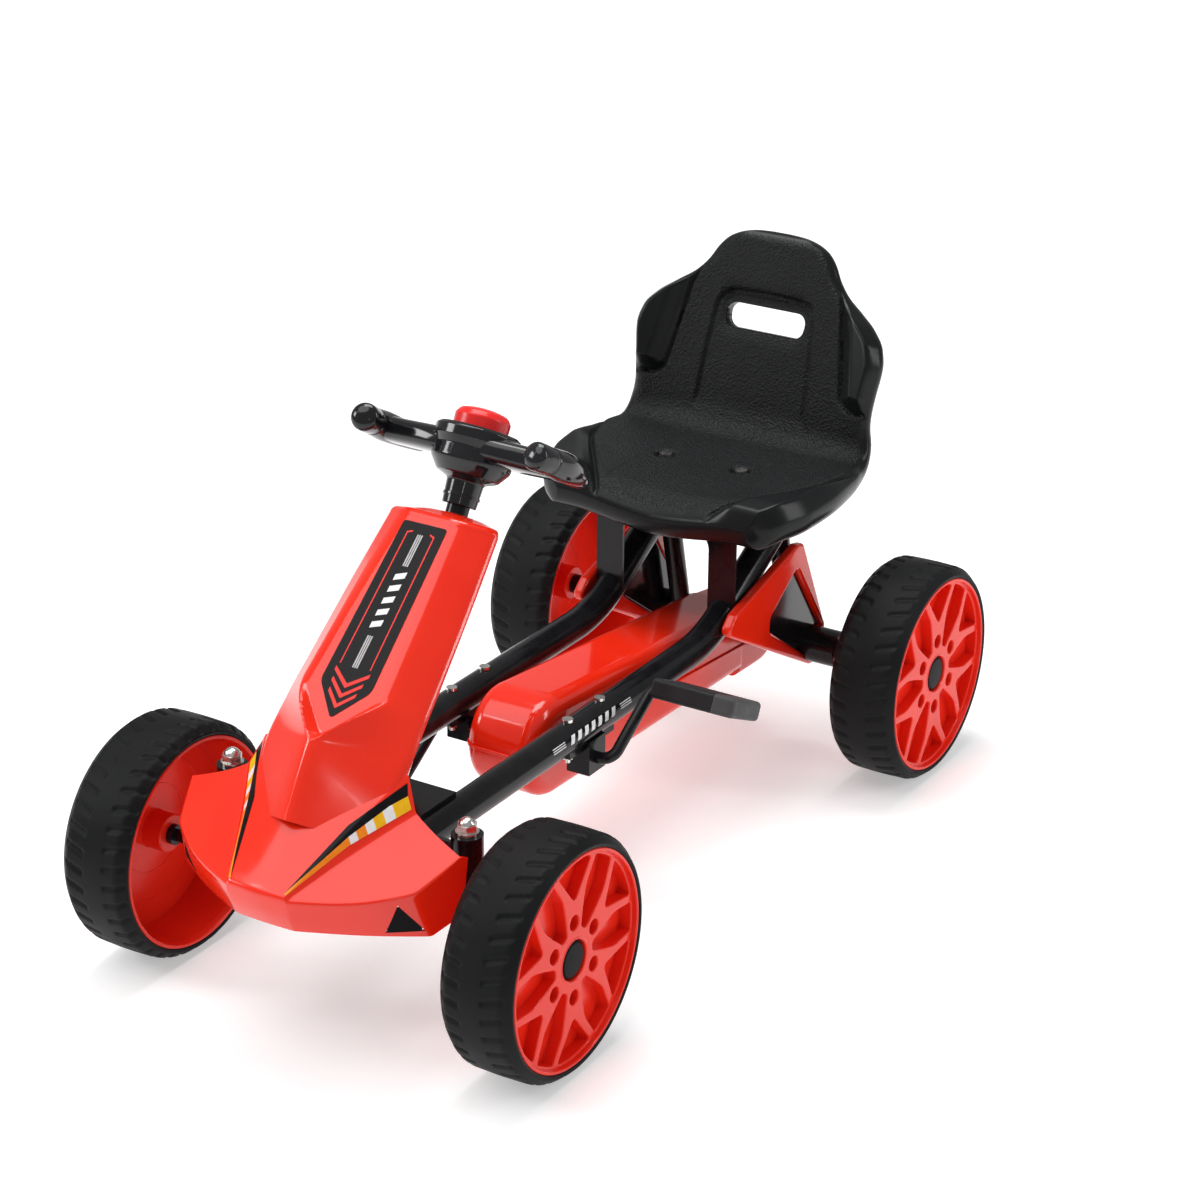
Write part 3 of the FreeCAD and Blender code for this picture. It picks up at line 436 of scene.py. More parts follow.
def satin_plastic(name, dark, light, rough, grain_scale, grain, wear=None, specular=0.14):
    """Moulded plastic with a fine pebbled skin."""
    material, tree, shader = new_material(name)
    patches = add_noise(tree, 14.0, 3.0)
    colour = two_tone(tree, spread(tree, patches.outputs["Fac"], 0, 1), dark, light)
    if wear:
        rubbed = tree.nodes.new("ShaderNodeMix")
        rubbed.data_type = "RGBA"
        rubbed.inputs["B"].default_value = (*wear, 1)
        tree.links.new(edge_mask(tree, 0.52, 0.60), rubbed.inputs["Factor"])
        tree.links.new(colour, rubbed.inputs["A"])
        colour = rubbed.outputs["Result"]
    tree.links.new(colour, shader.inputs["Base Color"])
    tree.links.new(spread(tree, patches.outputs["Fac"], *rough), shader.inputs["Roughness"])
    shader.inputs["Specular IOR Level"].default_value = specular
    add_bump(tree, shader, add_cells(tree, grain_scale), grain, 0.0006)
    return material


def painted_steel(name):
    """Black gloss enamel: orange peel and dust specks."""
    material, tree, shader = new_material(name)
    dust = add_noise(tree, 35.0, 5.0, 0.65)
    tree.links.new(two_tone(tree, spread(tree, dust.outputs["Fac"], 0, 1, 0.35, 0.75),
                            (0.005, 0.005, 0.006), (0.012, 0.012, 0.014)),
                   shader.inputs["Base Color"])
    tree.links.new(spread(tree, dust.outputs["Fac"], 0.13, 0.24), shader.inputs["Roughness"])
    add_bump(tree, shader, add_noise(tree, 260.0, 2.0).outputs["Fac"], 0.06, 0.0005)
    shader.inputs["Coat Weight"].default_value = 0.08
    shader.inputs["Coat Roughness"].default_value = 0.06
    shader.inputs["Specular IOR Level"].default_value = 0.2
    return material


def metal(name, dark, light, rough, brushed):
    """Bare or plated metal with faint stains and a brushed grain."""
    material, tree, shader = new_material(name)
    stain = add_noise(tree, 120.0, 4.0)
    tree.links.new(two_tone(tree, spread(tree, stain.outputs["Fac"], 0, 1), dark, light),
                   shader.inputs["Base Color"])
    tree.links.new(spread(tree, stain.outputs["Fac"], *rough), shader.inputs["Roughness"])
    shader.inputs["Metallic"].default_value = 1.0
    add_bump(tree, shader, add_noise(tree, 700.0, 3.0).outputs["Fac"], brushed, 0.0003)
    return material


def seat_plastic():
    """Blow-moulded seat: leather-like grain in the middle, smooth satin on the bolsters."""
    material, tree, shader = new_material("seat_plastic")
    patches = add_noise(tree, 10.0, 3.0)
    tree.links.new(two_tone(tree, spread(tree, patches.outputs["Fac"], 0, 1),
                            (0.0040, 0.0046, 0.0048), (0.0068, 0.0076, 0.0080)),
                   shader.inputs["Base Color"])
    region = tree.nodes.new("ShaderNodeAttribute")
    region.attribute_name = "grain"
    tree.links.new(spread(tree, region.outputs["Fac"], 0.26, 0.47, 0, 1), shader.inputs["Roughness"])
    wrinkles = add_noise(tree, 260.0, 4.0, 0.6)
    leather = combine(tree, "ADD", add_cells(tree, 430.0), wrinkles.outputs["Fac"])
    add_bump(tree, shader, combine(tree, "MULTIPLY", leather, region.outputs["Fac"]), 0.85, 0.0011)
    add_bump(tree, shader, add_noise(tree, 500.0, 2.0).outputs["Fac"], 0.05, 0.0004)
    shader.inputs["Specular IOR Level"].default_value = 0.2
    return material


def film(name, dark, light, rough=(0.16, 0.24), specular=0.3):
    """Printed sticker film."""
    material, tree, shader = new_material(name)
    ink = add_noise(tree, 180.0, 3.0)
    tree.links.new(two_tone(tree, spread(tree, ink.outputs["Fac"], 0, 1), dark, light),
                   shader.inputs["Base Color"])
    tree.links.new(spread(tree, ink.outputs["Fac"], *rough), shader.inputs["Roughness"])
    add_bump(tree, shader, add_noise(tree, 45.0, 2.0).outputs["Fac"], 0.05, 0.001)
    shader.inputs["Specular IOR Level"].default_value = specular
    return material


RED = gloss_plastic("red_gloss", (0.78, 0.018, 0.004), (0.84, 0.026, 0.007))
RED_RIM = gloss_plastic("red_rim", (0.76, 0.018, 0.007), (0.84, 0.028, 0.011), (0.16, 0.26), 0.04,
                        specular=0.22)
RED_BUTTON = gloss_plastic("red_button", (0.70, 0.016, 0.016), (0.78, 0.026, 0.024), (0.20, 0.30), 0.05,
                           specular=0.25)
BLACK_GLOSS = gloss_plastic("black_gloss", (0.005, 0.005, 0.006), (0.010, 0.010, 0.012), (0.08, 0.15), 0.15)
BLACK_SATIN = satin_plastic("black_satin", (0.012, 0.012, 0.013), (0.022, 0.022, 0.024),
                            (0.34, 0.48), 900.0, 0.10, (0.06, 0.06, 0.062))
CAP_GREY = satin_plastic("pedal_cap_grey", (0.045, 0.045, 0.046), (0.075, 0.075, 0.077),
                         (0.45, 0.60), 700.0, 0.15, (0.16, 0.16, 0.16))
TYRE = satin_plastic("tyre_foam", (0.0036, 0.0039, 0.0043), (0.0080, 0.0084, 0.0092),
                     (0.46, 0.60), 1100.0, 0.22, (0.016, 0.017, 0.018), 0.12)
CAP_BLACK = satin_plastic("cap_black", (0.004, 0.004, 0.005), (0.007, 0.007, 0.008),
                          (0.34, 0.46), 900.0, 0.06, specular=0.05)
PAINT = painted_steel("black_enamel")
ZINC = metal("bright_zinc", (0.62, 0.60, 0.57), (0.80, 0.78, 0.75), (0.18, 0.30), 0.05)
STEEL = metal("oiled_steel", (0.24, 0.235, 0.23), (0.36, 0.35, 0.34), (0.30, 0.45), 0.12)
SEAT = seat_plastic()
FILM_BLACK = film("film_black", (0.005, 0.005, 0.006), (0.008, 0.008, 0.009), (0.14, 0.22), 0.12)
FILM_WHITE = film("film_white", (0.72, 0.72, 0.72), (0.82, 0.82, 0.82))
FILM_GREY = film("film_grey", (0.40, 0.38, 0.38), (0.50, 0.48, 0.48))
FILM_RED = film("film_red", (0.72, 0.016, 0.010), (0.80, 0.024, 0.014))
FILM_YELLOW = film("film_yellow", (0.80, 0.42, 0.008), (0.86, 0.50, 0.012))
FILM_ORANGE = film("film_orange", (0.82, 0.20, 0.010), (0.86, 0.26, 0.012))

SLOT_MATERIAL = {
    "tyre": TYRE,
    "red_rim": RED_RIM,
    "red_gloss_plastic": RED,
    "red_button_plastic": RED_BUTTON,
    "black_gloss_plastic": BLACK_GLOSS,
    "seat_plastic": SEAT,
    "pedal_plastic": BLACK_SATIN,
    "nylon": BLACK_SATIN,
    "black_painted_steel": PAINT,
    "zinc_fasteners": ZINC,
    "bare_steel": STEEL,
}
NODE_MATERIAL = {"nose_vent_inserts": CAP_BLACK}


def paint_cad_nodes():
    """Gives every CAD node its own material where it has one, and its slot's otherwise."""
    for part in frame["record"]["subparts"]:
        node = frame["nodes"][part["node"]]
        node.data.materials.clear()
        own = NODE_MATERIAL.get(part["node"])
        node.data.materials.append(own or SLOT_MATERIAL[part["material_slot"]])


paint_cad_nodes()


# ---------------------------------------------------------------- wheels
TREAD_NOTCHES = 38
NOTCH_DEPTH = 2.0
SPOKE_COUNT = 6
HUB_FACE = 27.0
SPOKE_FACE = 33.0
WEB_FACE = 21.0


def tyre_profile():
    """(x, radius) round half the tyre's section: inner bead, sidewall, tread, sidewall, outer bead."""
    half = TYRE_HALF
    corners = [(-half + 1.2, RIM_RADIUS + 0.2), (-half, RIM_RADIUS + 3.2), (-half + 0.6, TYRE_RADIUS - 8),
               (-half + 9.0, TYRE_RADIUS - 0.9), (0, TYRE_RADIUS), (half - 9.0, TYRE_RADIUS - 0.9),
               (half - 0.6, TYRE_RADIUS - 8), (half, RIM_RADIUS + 3.2), (half - 1.2, RIM_RADIUS + 0.2)]
    smooth = rounded_path(corners, [0, 1.4, 5, 9, 400, 9, 5, 1.4, 0], closed=False, steps=5)
    out = [smooth[0]]
    for (x0, r0), (x1, r1) in zip(smooth, smooth[1:]):
        pieces = max(1, math.ceil(math.hypot(x1 - x0, r1 - r0) / 1.6))
        for piece in range(1, pieces + 1):
            out.append((blend_values(x0, x1, piece / pieces), blend_values(r0, r1, piece / pieces)))
    return out


def notch_depth(x, turn):
    """How far the tread is cut at x, for a place turn (0..1) round the wheel."""
    side = 1 if x > 0 else -1
    reach = abs(x)
    if side > 0:
        across = smooth_step(reach, 7.5, 10.5) * (1 - smooth_step(reach, 29.0, 32.0))
    else:
        across = smooth_step(reach, 12.5, 15.5) * (1 - smooth_step(reach, 35.5, TYRE_HALF))
    slant = 0.018 * reach if side > 0 else 0.012 * reach
    phase = (turn * TREAD_NOTCHES + slant + (0.5 if side > 0 else 0.0)) % 1.0
    steep = smooth_step(phase, 0.18, 0.24)
    gentle = 1 - smooth_step(phase, 0.34, 0.62)
    return NOTCH_DEPTH * across * steep * gentle


def wheel_point(end, side, x, radius, angle):
    """Point on a wheel: x outward along the axle, the angle measured from +Y towards +Z."""
    sign = SIDES[side]
    return (sign * (WHEEL_X + x), AXLE_Y[end] + radius * math.cos(angle), AXLE_Z + radius * math.sin(angle))


def tyre(end, side):
    """Tyre with its tread notches."""
    profile = tyre_profile()
    steps = TREAD_NOTCHES * 12
    points = []
    for step in range(steps):
        turn = step / steps
        for x, radius in profile:
            cut = notch_depth(x, turn) if radius > TYRE_RADIUS - 12 else 0.0
            points.append(wheel_point(end, side, x, radius - cut, math.tau * turn))
    rows = len(profile)
    faces = []
    for step in range(steps):
        after = (step + 1) % steps
        for row in range(rows):
            other = (row + 1) % rows
            faces.append((step * rows + row, step * rows + other, after * rows + other, after * rows + row))
    return make_mesh(f"tyre_{end}_{side}_skin", points, faces)


def spoke_windows():
    """Openings of the spoke plate: six V openings, six long ones between them and six lug pockets."""
    windows = []
    barrel = RIM_RADIUS - 7.0
    for spoke in range(SPOKE_COUNT):
        turn = math.radians(30 + 60 * spoke)
        shapes = [v_window(barrel), circle_points(7.2, 24, (38.0, 0.0))]
        for shape in shapes:
            windows.append([turned_point(point, turn) for point in shape])
        windows.append([turned_point(point, turn + math.radians(30)) for point in long_window(barrel)])
    return windows


def turned_point(point, angle):
    """Point turned about the wheel's middle."""
    u, v = point
    return (u * math.cos(angle) - v * math.sin(angle), u * math.sin(angle) + v * math.cos(angle))


def arc_corners(radius, half_angle, steps=8):
    """Arc about the wheel's middle, from +half_angle to -half_angle."""
    angles = [half_angle * (1 - 2 * i / steps) for i in range(steps + 1)]
    return [(radius * math.cos(angle), radius * math.sin(angle)) for angle in angles]


def v_window(barrel):
    """Opening inside one V spoke: a wedge with its point towards the hub."""
    wall = arc_corners(barrel, math.radians(16.2))
    outline = [(59.0, 0.0)] + list(reversed(wall))
    radii = [4.0, 3.0] + [0] * (len(wall) - 2) + [3.0]
    return rounded_path(outline, radii)


def long_window(barrel):
    """Opening between two V spokes, widest at its middle and rounded at the hub."""
    wall = arc_corners(barrel, math.radians(8.4))
    outline = [(31.0, -4.5), (50.0, -11.5), (68.0, -17.0)] + list(reversed(wall))
    outline += [(68.0, 17.0), (50.0, 11.5), (31.0, 4.5)]
    radii = [4.5, 30.0, 30.0, 3.0] + [0] * (len(wall) - 2) + [3.0, 30.0, 30.0, 4.5]
    return rounded_path(outline, radii)


def rim(end, side):
    """Dished rim: barrel with a rolled lip, closed web, spoke plate, hub and stiffening rings behind."""
    sign = SIDES[side]
    centre = (sign * WHEEL_X, AXLE_Y[end], AXLE_Z)
    axis = (sign, 0, 0)
    lip = TYRE_HALF - 0.6
    barrel = rounded_path([(RIM_RADIUS, -lip), (RIM_RADIUS, lip), (RIM_RADIUS - 3.4, lip),
                           (RIM_RADIUS - 4.6, lip - 7), (RIM_RADIUS - 6.5, WEB_FACE - 3),
                           (RIM_RADIUS - 5.0, -lip + 6), (RIM_RADIUS - 3.4, -lip)],
                          [0.8, 1.6, 1.6, 4, 6, 5, 1.6], steps=5)
    pieces = [lathe("barrel", barrel + barrel[:1], centre, axis, 144)]
    web = rounded_path([(6.0, WEB_FACE - 3), (RIM_RADIUS - 4, WEB_FACE - 3), (RIM_RADIUS - 4, WEB_FACE),
                        (6.0, WEB_FACE)], 0)
    pieces.append(lathe("web", web + web[:1], centre, axis, 96))

    def place(u, v, height):
        return (sign * (WHEEL_X + height), AXLE_Y[end] + u, AXLE_Z + v)

    pieces.append(plate("spokes", circle_points(RIM_RADIUS - 2.4, 144),
                        spoke_windows() + [circle_points(21.0, 48)], WEB_FACE - 1.5, SPOKE_FACE, 1.5, place))
    hub = rounded_path([(8.2, -4.0), (19.0, -4.0), (19.0, WEB_FACE - 3), (24.5, WEB_FACE - 1),
                        (24.5, SPOKE_FACE - 0.6), (21.0, SPOKE_FACE + 0.6), (19.6, SPOKE_FACE - 0.4),
                        (19.2, HUB_FACE), (8.2, HUB_FACE)],
                       [0.5, 1.5, 2.0, 0.5, 1.2, 0.8, 0.6, 0.4, 0.3], steps=4)
    pieces.append(lathe("hub", hub + hub[:1], centre, axis, 96))
    for radius in (44.0, 72.0):
        ring = rounded_path([(radius, WEB_FACE - 3.6), (radius + 1.2, WEB_FACE - 3.6),
                             (radius + 1.2, WEB_FACE - 2.5), (radius, WEB_FACE - 2.5)], 0.3, steps=3)
        pieces.append(lathe("ring", ring + ring[:1], centre, axis, 96))
    return join(f"rim_{end}_{side}_moulding", pieces)


def hub_cap(end, side):
    """Flat-domed cap in the hub."""
    sign = SIDES[side]
    profile = rounded_path([(0, HUB_FACE), (18.4, HUB_FACE), (18.4, HUB_FACE + 3.4), (15.8, HUB_FACE + 5.4),
                            (0, HUB_FACE + 6.0)], [0, 0.5, 1.2, 3.0, 0], closed=False, steps=6)
    centre = (sign * WHEEL_X, AXLE_Y[end], AXLE_Z)
    return lathe(f"hub_cap_{end}_{side}_dome", profile, centre, (sign, 0, 0), 72)


def make_wheels():
    for (end, side), body in BODY_OF.items():
        settle(tyre(end, side), body, "tyre", TYRE, f"tyre_{end}_{side}")
        settle(rim(end, side), body, "red_rim", RED_RIM, f"rim_{end}_{side}")
        settle(hub_cap(end, side), body, "black_gloss_plastic", CAP_BLACK, f"hub_cap_{end}_{side}")


make_wheels()


# ---------------------------------------------------------------- seat
SEAT_FRONT = 186.0
SEAT_PAN_Z = 329.0
SEAT_BEND = (389.0, 338.0)
SEAT_TOP = (449.0, 545.0)
SEAT_HALF_THICKNESS = 12.5
SEAT_EDGE = 15.0
SEAT_BOLT = (45.8, 297.4)
SEAT_COLUMNS = 92


def seat_profile():
    """Middle line of the seat's upper face, from the front edge over the bend to the top: (y, z) points."""
    drop = SEAT_HALF_THICKNESS
    line = [(SEAT_FRONT, SEAT_PAN_Z - drop), (SEAT_BEND[0] + 7, SEAT_BEND[1] - drop),
            (SEAT_TOP[0] + 9, SEAT_TOP[1] - 1)]
    return rounded_path(line, [0, 46, 0], closed=False, steps=14)


class Profile:
    """Measures places along the seat's middle line by arc length."""

    def __init__(self, points):
        self.points = [Vector(p) for p in points]
        self.lengths = [0.0]
        for a, b in zip(self.points, self.points[1:]):
            self.lengths.append(self.lengths[-1] + (b - a).length)
        self.total = self.lengths[-1]

    def at(self, s):
        """Point and normal (towards the driver) at arc length s."""
        s = clamp(s, 0.0, self.total)
        for i in range(len(self.points) - 1):
            if s <= self.lengths[i + 1] + 1e-9:
                break
        a, b = self.points[i], self.points[i + 1]
        t = (s - self.lengths[i]) / (b - a).length
        before = self.points[max(i - 1, 0)]
        after = self.points[min(i + 2, len(self.points) - 1)]
        start_way = (b - before).normalized()
        end_way = (after - a).normalized()
        way = start_way.lerp(end_way, t).normalized()
        return a.lerp(b, t), Vector((-way.y, way.x))

    def height(self, z):
        """Arc length where the back reaches height z."""
        low, high = self.total * 0.5, self.total
        for _ in range(30):
            mid = (low + high) / 2
            if self.at(mid)[0].y < z:
                low = mid
            else:
                high = mid
        return low


SEAT_LINE = Profile(seat_profile())
BACK_LENGTHS = {}


def on_back(z):
    """Arc length where the back reaches height z, worked out once for each height."""
    if z not in BACK_LENGTHS:
        BACK_LENGTHS[z] = SEAT_LINE.height(z)
    return BACK_LENGTHS[z]


def seat_outline():
    """Half width of the seat along its middle line."""
    return [(0.0, 112.0), (5.0, 126.0), (14.0, 138.0), (34.0, 149.0), (64.0, 158.0), (110.0, 161.0),
            (160.0, 157.0), (190.0, 151.5), (on_back(347), 147.0), (on_back(370), 143.5), (on_back(398), 146.0),
            (on_back(428), 149.5), (on_back(447), 145.0), (on_back(464), 131.0), (on_back(478), 112.0),
            (on_back(492), 92.0), (on_back(506), 79.5), (on_back(520), 71.0), (on_back(531), 61.0),
            (SEAT_LINE.total - 7.0, 50.0), (SEAT_LINE.total - 3.0, 38.0), (SEAT_LINE.total - 1.0, 26.0),
            (SEAT_LINE.total, 10.0)]


SEAT_OUTLINE = seat_outline()


def distance_to_line(x, s, line):
    """Shortest distance from (x, s) to an open polyline."""
    best = 1e9
    for (x0, s0), (x1, s1) in zip(line, line[1:]):
        dx, ds = x1 - x0, s1 - s0
        t = clamp(((x - x0) * dx + (s - s0) * ds) / (dx * dx + ds * ds))
        best = min(best, math.hypot(x - x0 - t * dx, s - s0 - t * ds))
    return best


def inside(x, s, loop):
    """Whether (x, s) lies inside a closed loop."""
    hit = False
    for (x0, s0), (x1, s1) in zip(loop, loop[1:] + loop[:1]):
        if (s0 > s) != (s1 > s) and x < (x1 - x0) * (s - s0) / (s1 - s0) + x0:
            hit = not hit
    return hit


def seat_features():
    """Lines drawn on the seat, as (half width, arc length) points."""
    wing = rounded_path([(84.0, on_back(497)), (92.0, on_back(478)), (108.0, on_back(386)),
                         (120.0, on_back(379)), (152.0, on_back(377))], [0, 25, 14, 10, 0], closed=False)
    bolster = rounded_path([(66.0, -6.0), (69.0, 10.0), (108.0, 66.0), (137.0, 108.0), (150.0, 150.0),
                            (160.0, 188.0)], [0, 10, 40, 40, 40, 0], closed=False)
    panel = rounded_path([(66.0, on_back(352)), (62.0, on_back(420)), (56.0, on_back(478)),
                          (0.0, on_back(480))], [0, 60, 22, 0], closed=False)
    slot = rounded_path([(-49.0, on_back(466)), (49.0, on_back(466)), (46.0, on_back(440)),
                         (-46.0, on_back(440))], [11.5, 11.5, 11.0, 11.0], steps=10)
    return wing, bolster, panel, slot


SEAT_WING, SEAT_BOLSTER, SEAT_PANEL, SEAT_SLOT = seat_features()


def wing_mask(x, s):
    """1 on the smooth side wings of the back and the front bolsters, 0 on the grained middle."""
    loops = [SEAT_WING + [(230.0, on_back(377)), (230.0, on_back(497))],
             SEAT_BOLSTER + [(230.0, 188.0), (230.0, -6.0)]]
    for loop, line in zip(loops, (SEAT_WING, SEAT_BOLSTER)):
        if inside(x, s, loop):
            return smooth_step(distance_to_line(x, s, line), 0.0, 3.0)
    return 0.0


def seat_height(x, s):
    """Offset of the seat's face from its middle surface, for a place x >= 0 across and s along."""
    groove = 0.0
    wing_gap = distance_to_line(x, s, SEAT_WING)
    groove += 5.2 * math.exp(-(wing_gap / 2.0) ** 2)
    bolster_gap = distance_to_line(x, s, SEAT_BOLSTER)
    groove += 5.0 * math.exp(-(bolster_gap / 2.0) ** 2)
    mask = wing_mask(x, s)
    puff = 10.0 * mask * smooth_step(min(wing_gap, bolster_gap), 0.0, 20.0)
    panel_gap = distance_to_line(x, s, SEAT_PANEL)
    fade = smooth_step(s, on_back(346), on_back(366))
    groove += 3.4 * fade * math.exp(-(panel_gap / 1.7) ** 2)
    panel_side = ramp([(on_back(352), 66.0), (on_back(420), 62.0), (on_back(478), 56.0)], s)
    if s < on_back(479):
        groove += 1.5 * fade * (1 - smooth_step(x, panel_side - 1.5, panel_side + 0.5))
    scoop = math.exp(-((s - on_back(466)) / 13.0) ** 2) * (1 - smooth_step(x, 40.0, 57.0))
    groove += 10.0 * scoop
    crease = distance_to_line(x, s, [(68.0, 30.0), (66.0, 138.0)])
    groove += 0.7 * math.exp(-(crease / 1.6) ** 2)
    bolt = math.hypot(x - SEAT_BOLT[0], s - (SEAT_BOLT[1] - SEAT_FRONT))
    groove += 6.0 * (1 - smooth_step(bolt, 7.5, 12.0))
    return puff - groove


def seat_sag(x, s):
    """Shift of the whole section along its normal: raised sides, curled wings and the wavy front edge."""
    side = x / 155.0
    on_pan = 1 - smooth_step(s, 150.0, 215.0)
    curl = 17.0 * smooth_step(s, 190.0, on_back(395)) * side ** 3
    thigh = 8.0 * math.exp(-((x - 88.0) / 34.0) ** 2)
    front = (1 - smooth_step(s, 0.0, 95.0))
    dip = -10.0 * (1 - smooth_step(s, 0.0, 34.0)) * (1 - 0.55 * side)
    return on_pan * (3.5 * side ** 2 + dip) + curl + front * (thigh * 0.4 - 3.0 * math.exp(-(x / 46.0) ** 2))


def seat_point(x, s, face):
    """Point of the seat at (x, s) on its upper (1) or lower (-1) face."""
    side = abs(x)
    half = ramp(SEAT_OUTLINE, s)
    edge = min((half - side) * 0.96, s, SEAT_LINE.total - s)
    if on_back(425) < s:
        slot_gap = 0.0 if inside(x, s, SEAT_SLOT) else distance_to_line(x, s, SEAT_SLOT + SEAT_SLOT[:1])
        edge = min(edge, 3.0 + 0.8 * slot_gap)
    reach = clamp(edge / SEAT_EDGE)
    round_over = math.sqrt(max(0.0, 1 - (1 - reach) ** 2))
    middle_point, normal = SEAT_LINE.at(s)
    taper = blend_values(1.0, 0.82, smooth_step(s, 240.0, SEAT_LINE.total))
    offset = SEAT_HALF_THICKNESS * taper * round_over * face
    if face < 0:
        offset -= 9.0 * round_over * (1 - smooth_step(edge, 14.0, 30.0)) * (1 - smooth_step(s, 150.0, 215.0))
    if face > 0:
        offset += seat_height(side, s) * smooth_step(reach, 0.0, 0.75)
    offset += seat_sag(side, s)
    place = middle_point + normal * offset
    return Vector((x, place.x, place.y))


def seat_columns():
    """Places across the half seat, closer together towards the edge."""
    shares = [i / SEAT_COLUMNS for i in range(SEAT_COLUMNS + 1)]
    return [0.35 * math.sin(math.pi / 2 * share) + 0.65 * share for share in shares]


def cut_slot(seat):
    """Cuts the handle slot through the back, square to it."""
    _, normal = SEAT_LINE.at(on_back(453))
    rings = []
    for reach in (45.0, -45.0):
        ring = []
        for x, s in SEAT_SLOT:
            middle_point, _ = SEAT_LINE.at(s)
            place = middle_point + normal * reach
            ring.append(Vector((x, place.x, place.y)))
        rings.append(ring)
    subtract(seat, loft("slot_tool", rings))
    seat.data.set_sharp_from_angle(angle=math.radians(55))


def make_seat():
    columns = seat_columns()
    shares = [-u for u in reversed(columns[1:])] + columns
    slot_low, slot_high = on_back(440), on_back(466)
    rows = []
    s = 0.0
    while s < SEAT_LINE.total:
        rows.append(s)
        near_end = min(s, SEAT_LINE.total - s)
        s += 0.5 if near_end < 3 else (1.1 if near_end < 16 or slot_low - 14 < s < slot_high + 14 else 1.5)
    rows.append(SEAT_LINE.total)
    width = len(shares)
    points = []
    grain = []
    for face in (1, -1):
        for s in rows:
            half = ramp(SEAT_OUTLINE, s)
            for share in shares:
                x = share * half
                points.append(seat_point(x, s, face))
                edge = min(half - abs(x), s, SEAT_LINE.total - s)
                grain.append((1 - wing_mask(abs(x), s)) * smooth_step(edge, 3.0, 12.0) if face > 0 else 0.0)
    count = len(rows) * width
    faces = []
    for face, start in ((1, 0), (-1, count)):
        for a, b, c, d in grid_faces(len(rows), width, start):
            faces.append((a, b, c, d) if face > 0 else (d, c, b, a))
    mesh = bpy.data.meshes.new("seat_moulding")
    mesh.from_pydata([p * MM for p in points], [], faces)
    attribute = mesh.attributes.new("grain", "FLOAT", "POINT")
    attribute.data.foreach_set("value", grain)
    work = bmesh.new()
    work.from_mesh(mesh)
    bmesh.ops.remove_doubles(work, verts=work.verts, dist=2e-5)
    bmesh.ops.recalc_face_normals(work, faces=work.faces)
    work.to_mesh(mesh)
    work.free()
    mesh.shade_smooth()
    seat = link(bpy.data.objects.new("seat_moulding", mesh))
    cut_slot(seat)
    settle(seat, "chassis", "seat_plastic", SEAT, "seat_shell")


make_seat()


# ---------------------------------------------------------------- column frame
STEERING = next(j for j in frame["record"]["behaviour"]["joints"] if j["name"] == "steering_turn")
COLUMN_FOOT = Vector(STEERING["pos_m"]) / MM
COLUMN_UP = Vector(STEERING["axis"]).normalized()
COLUMN_BACK = Vector((0, COLUMN_UP.z, -COLUMN_UP.y))


def column_at(x, back, up):
    """Point given across the kart, back from the column's line and up along it."""
    return COLUMN_FOOT + Vector((x, 0, 0)) + COLUMN_BACK * back + COLUMN_UP * up


# ---------------------------------------------------------------- column cover
HOOD_SIDE_X = [(-45, 70), (26, 77.5), (68, 75), (112, 72), (180, 67), (258, 60)]
HOOD_SIDE_BACK = [(-45, -101), (26, -89), (68, -77), (112, -63), (180, -42), (258, -18)]
HOOD_REAR_X = [(-45, 15), (30, 17), (112, 22), (262, 36)]
HOOD_REAR_BACK = [(-45, 16), (30, 17), (112, 19), (262, 21)]
HOOD_SLOPE = [(-45, 0.56), (31, 0.645), (79, 1.02), (112, 0.99), (262, 0.77)]
HOOD_TIP_UP = 31.4
HOOD_TIP_RISE = 1.075
HOOD_RIM_UP = 254.0
HOOD_FOOT_UP = -44.0
HOOD_WALL = 2.5
PANEL_BACK = -45.5
PANEL_LEAN = 0.347
PANEL_TOP = 250.8
COLUMN_HOLE = 17.5
HOOD_ROW = 1.8
BUMPER_COVERS = (-396, 212)


def panel_back(up):
    """Distance back of the flat front panel at a height along the column."""
    return PANEL_BACK - PANEL_LEAN * (PANEL_TOP - up)


def hood_front(x, up):
    """Front face of the cover: a flat panel ending in a V, side facets, and a keel below the V."""
    side_x = ramp(HOOD_SIDE_X, up)
    soft_x = math.sqrt(x * x + 25.0) - 2.5
    facet = ramp(HOOD_SIDE_BACK, up) - ramp(HOOD_SLOPE, up) * (side_x - soft_x)
    flat = panel_back(up)
    overlap = max(7.0 - abs(facet - flat), 0.0) / 7.0
    upper = max(facet, flat) + overlap * overlap * 7.0 / 4
    above = (up - HOOD_TIP_UP - HOOD_TIP_RISE * math.sqrt(x * x + 16.0)) / math.hypot(1, HOOD_TIP_RISE)
    face = blend_values(facet, upper, smooth_step(above, -2.4, 2.6))
    corner = clamp((abs(x) - side_x + 7.0) / 7.0)
    return face + 5.0 * (1 - math.sqrt(max(0.0, 1 - corner * corner)))


def hood_loop(up):
    """Outline of the cover at one height: front columns from right to left, then the rear ones."""
    side_x = ramp(HOOD_SIDE_X, up)
    front = [(side_x * i / 60, hood_front(side_x * i / 60, up)) for i in range(-60, 61)]
    seam = front[-1]
    rear_x = ramp(HOOD_REAR_X, up)
    rear_back = ramp(HOOD_REAR_BACK, up)
    corners = [seam, (rear_x, rear_back), (-rear_x, rear_back), (-seam[0], seam[1])]
    rear = rounded_path(corners, [0, 15, 15, 0], closed=False, steps=8)
    return front, rear


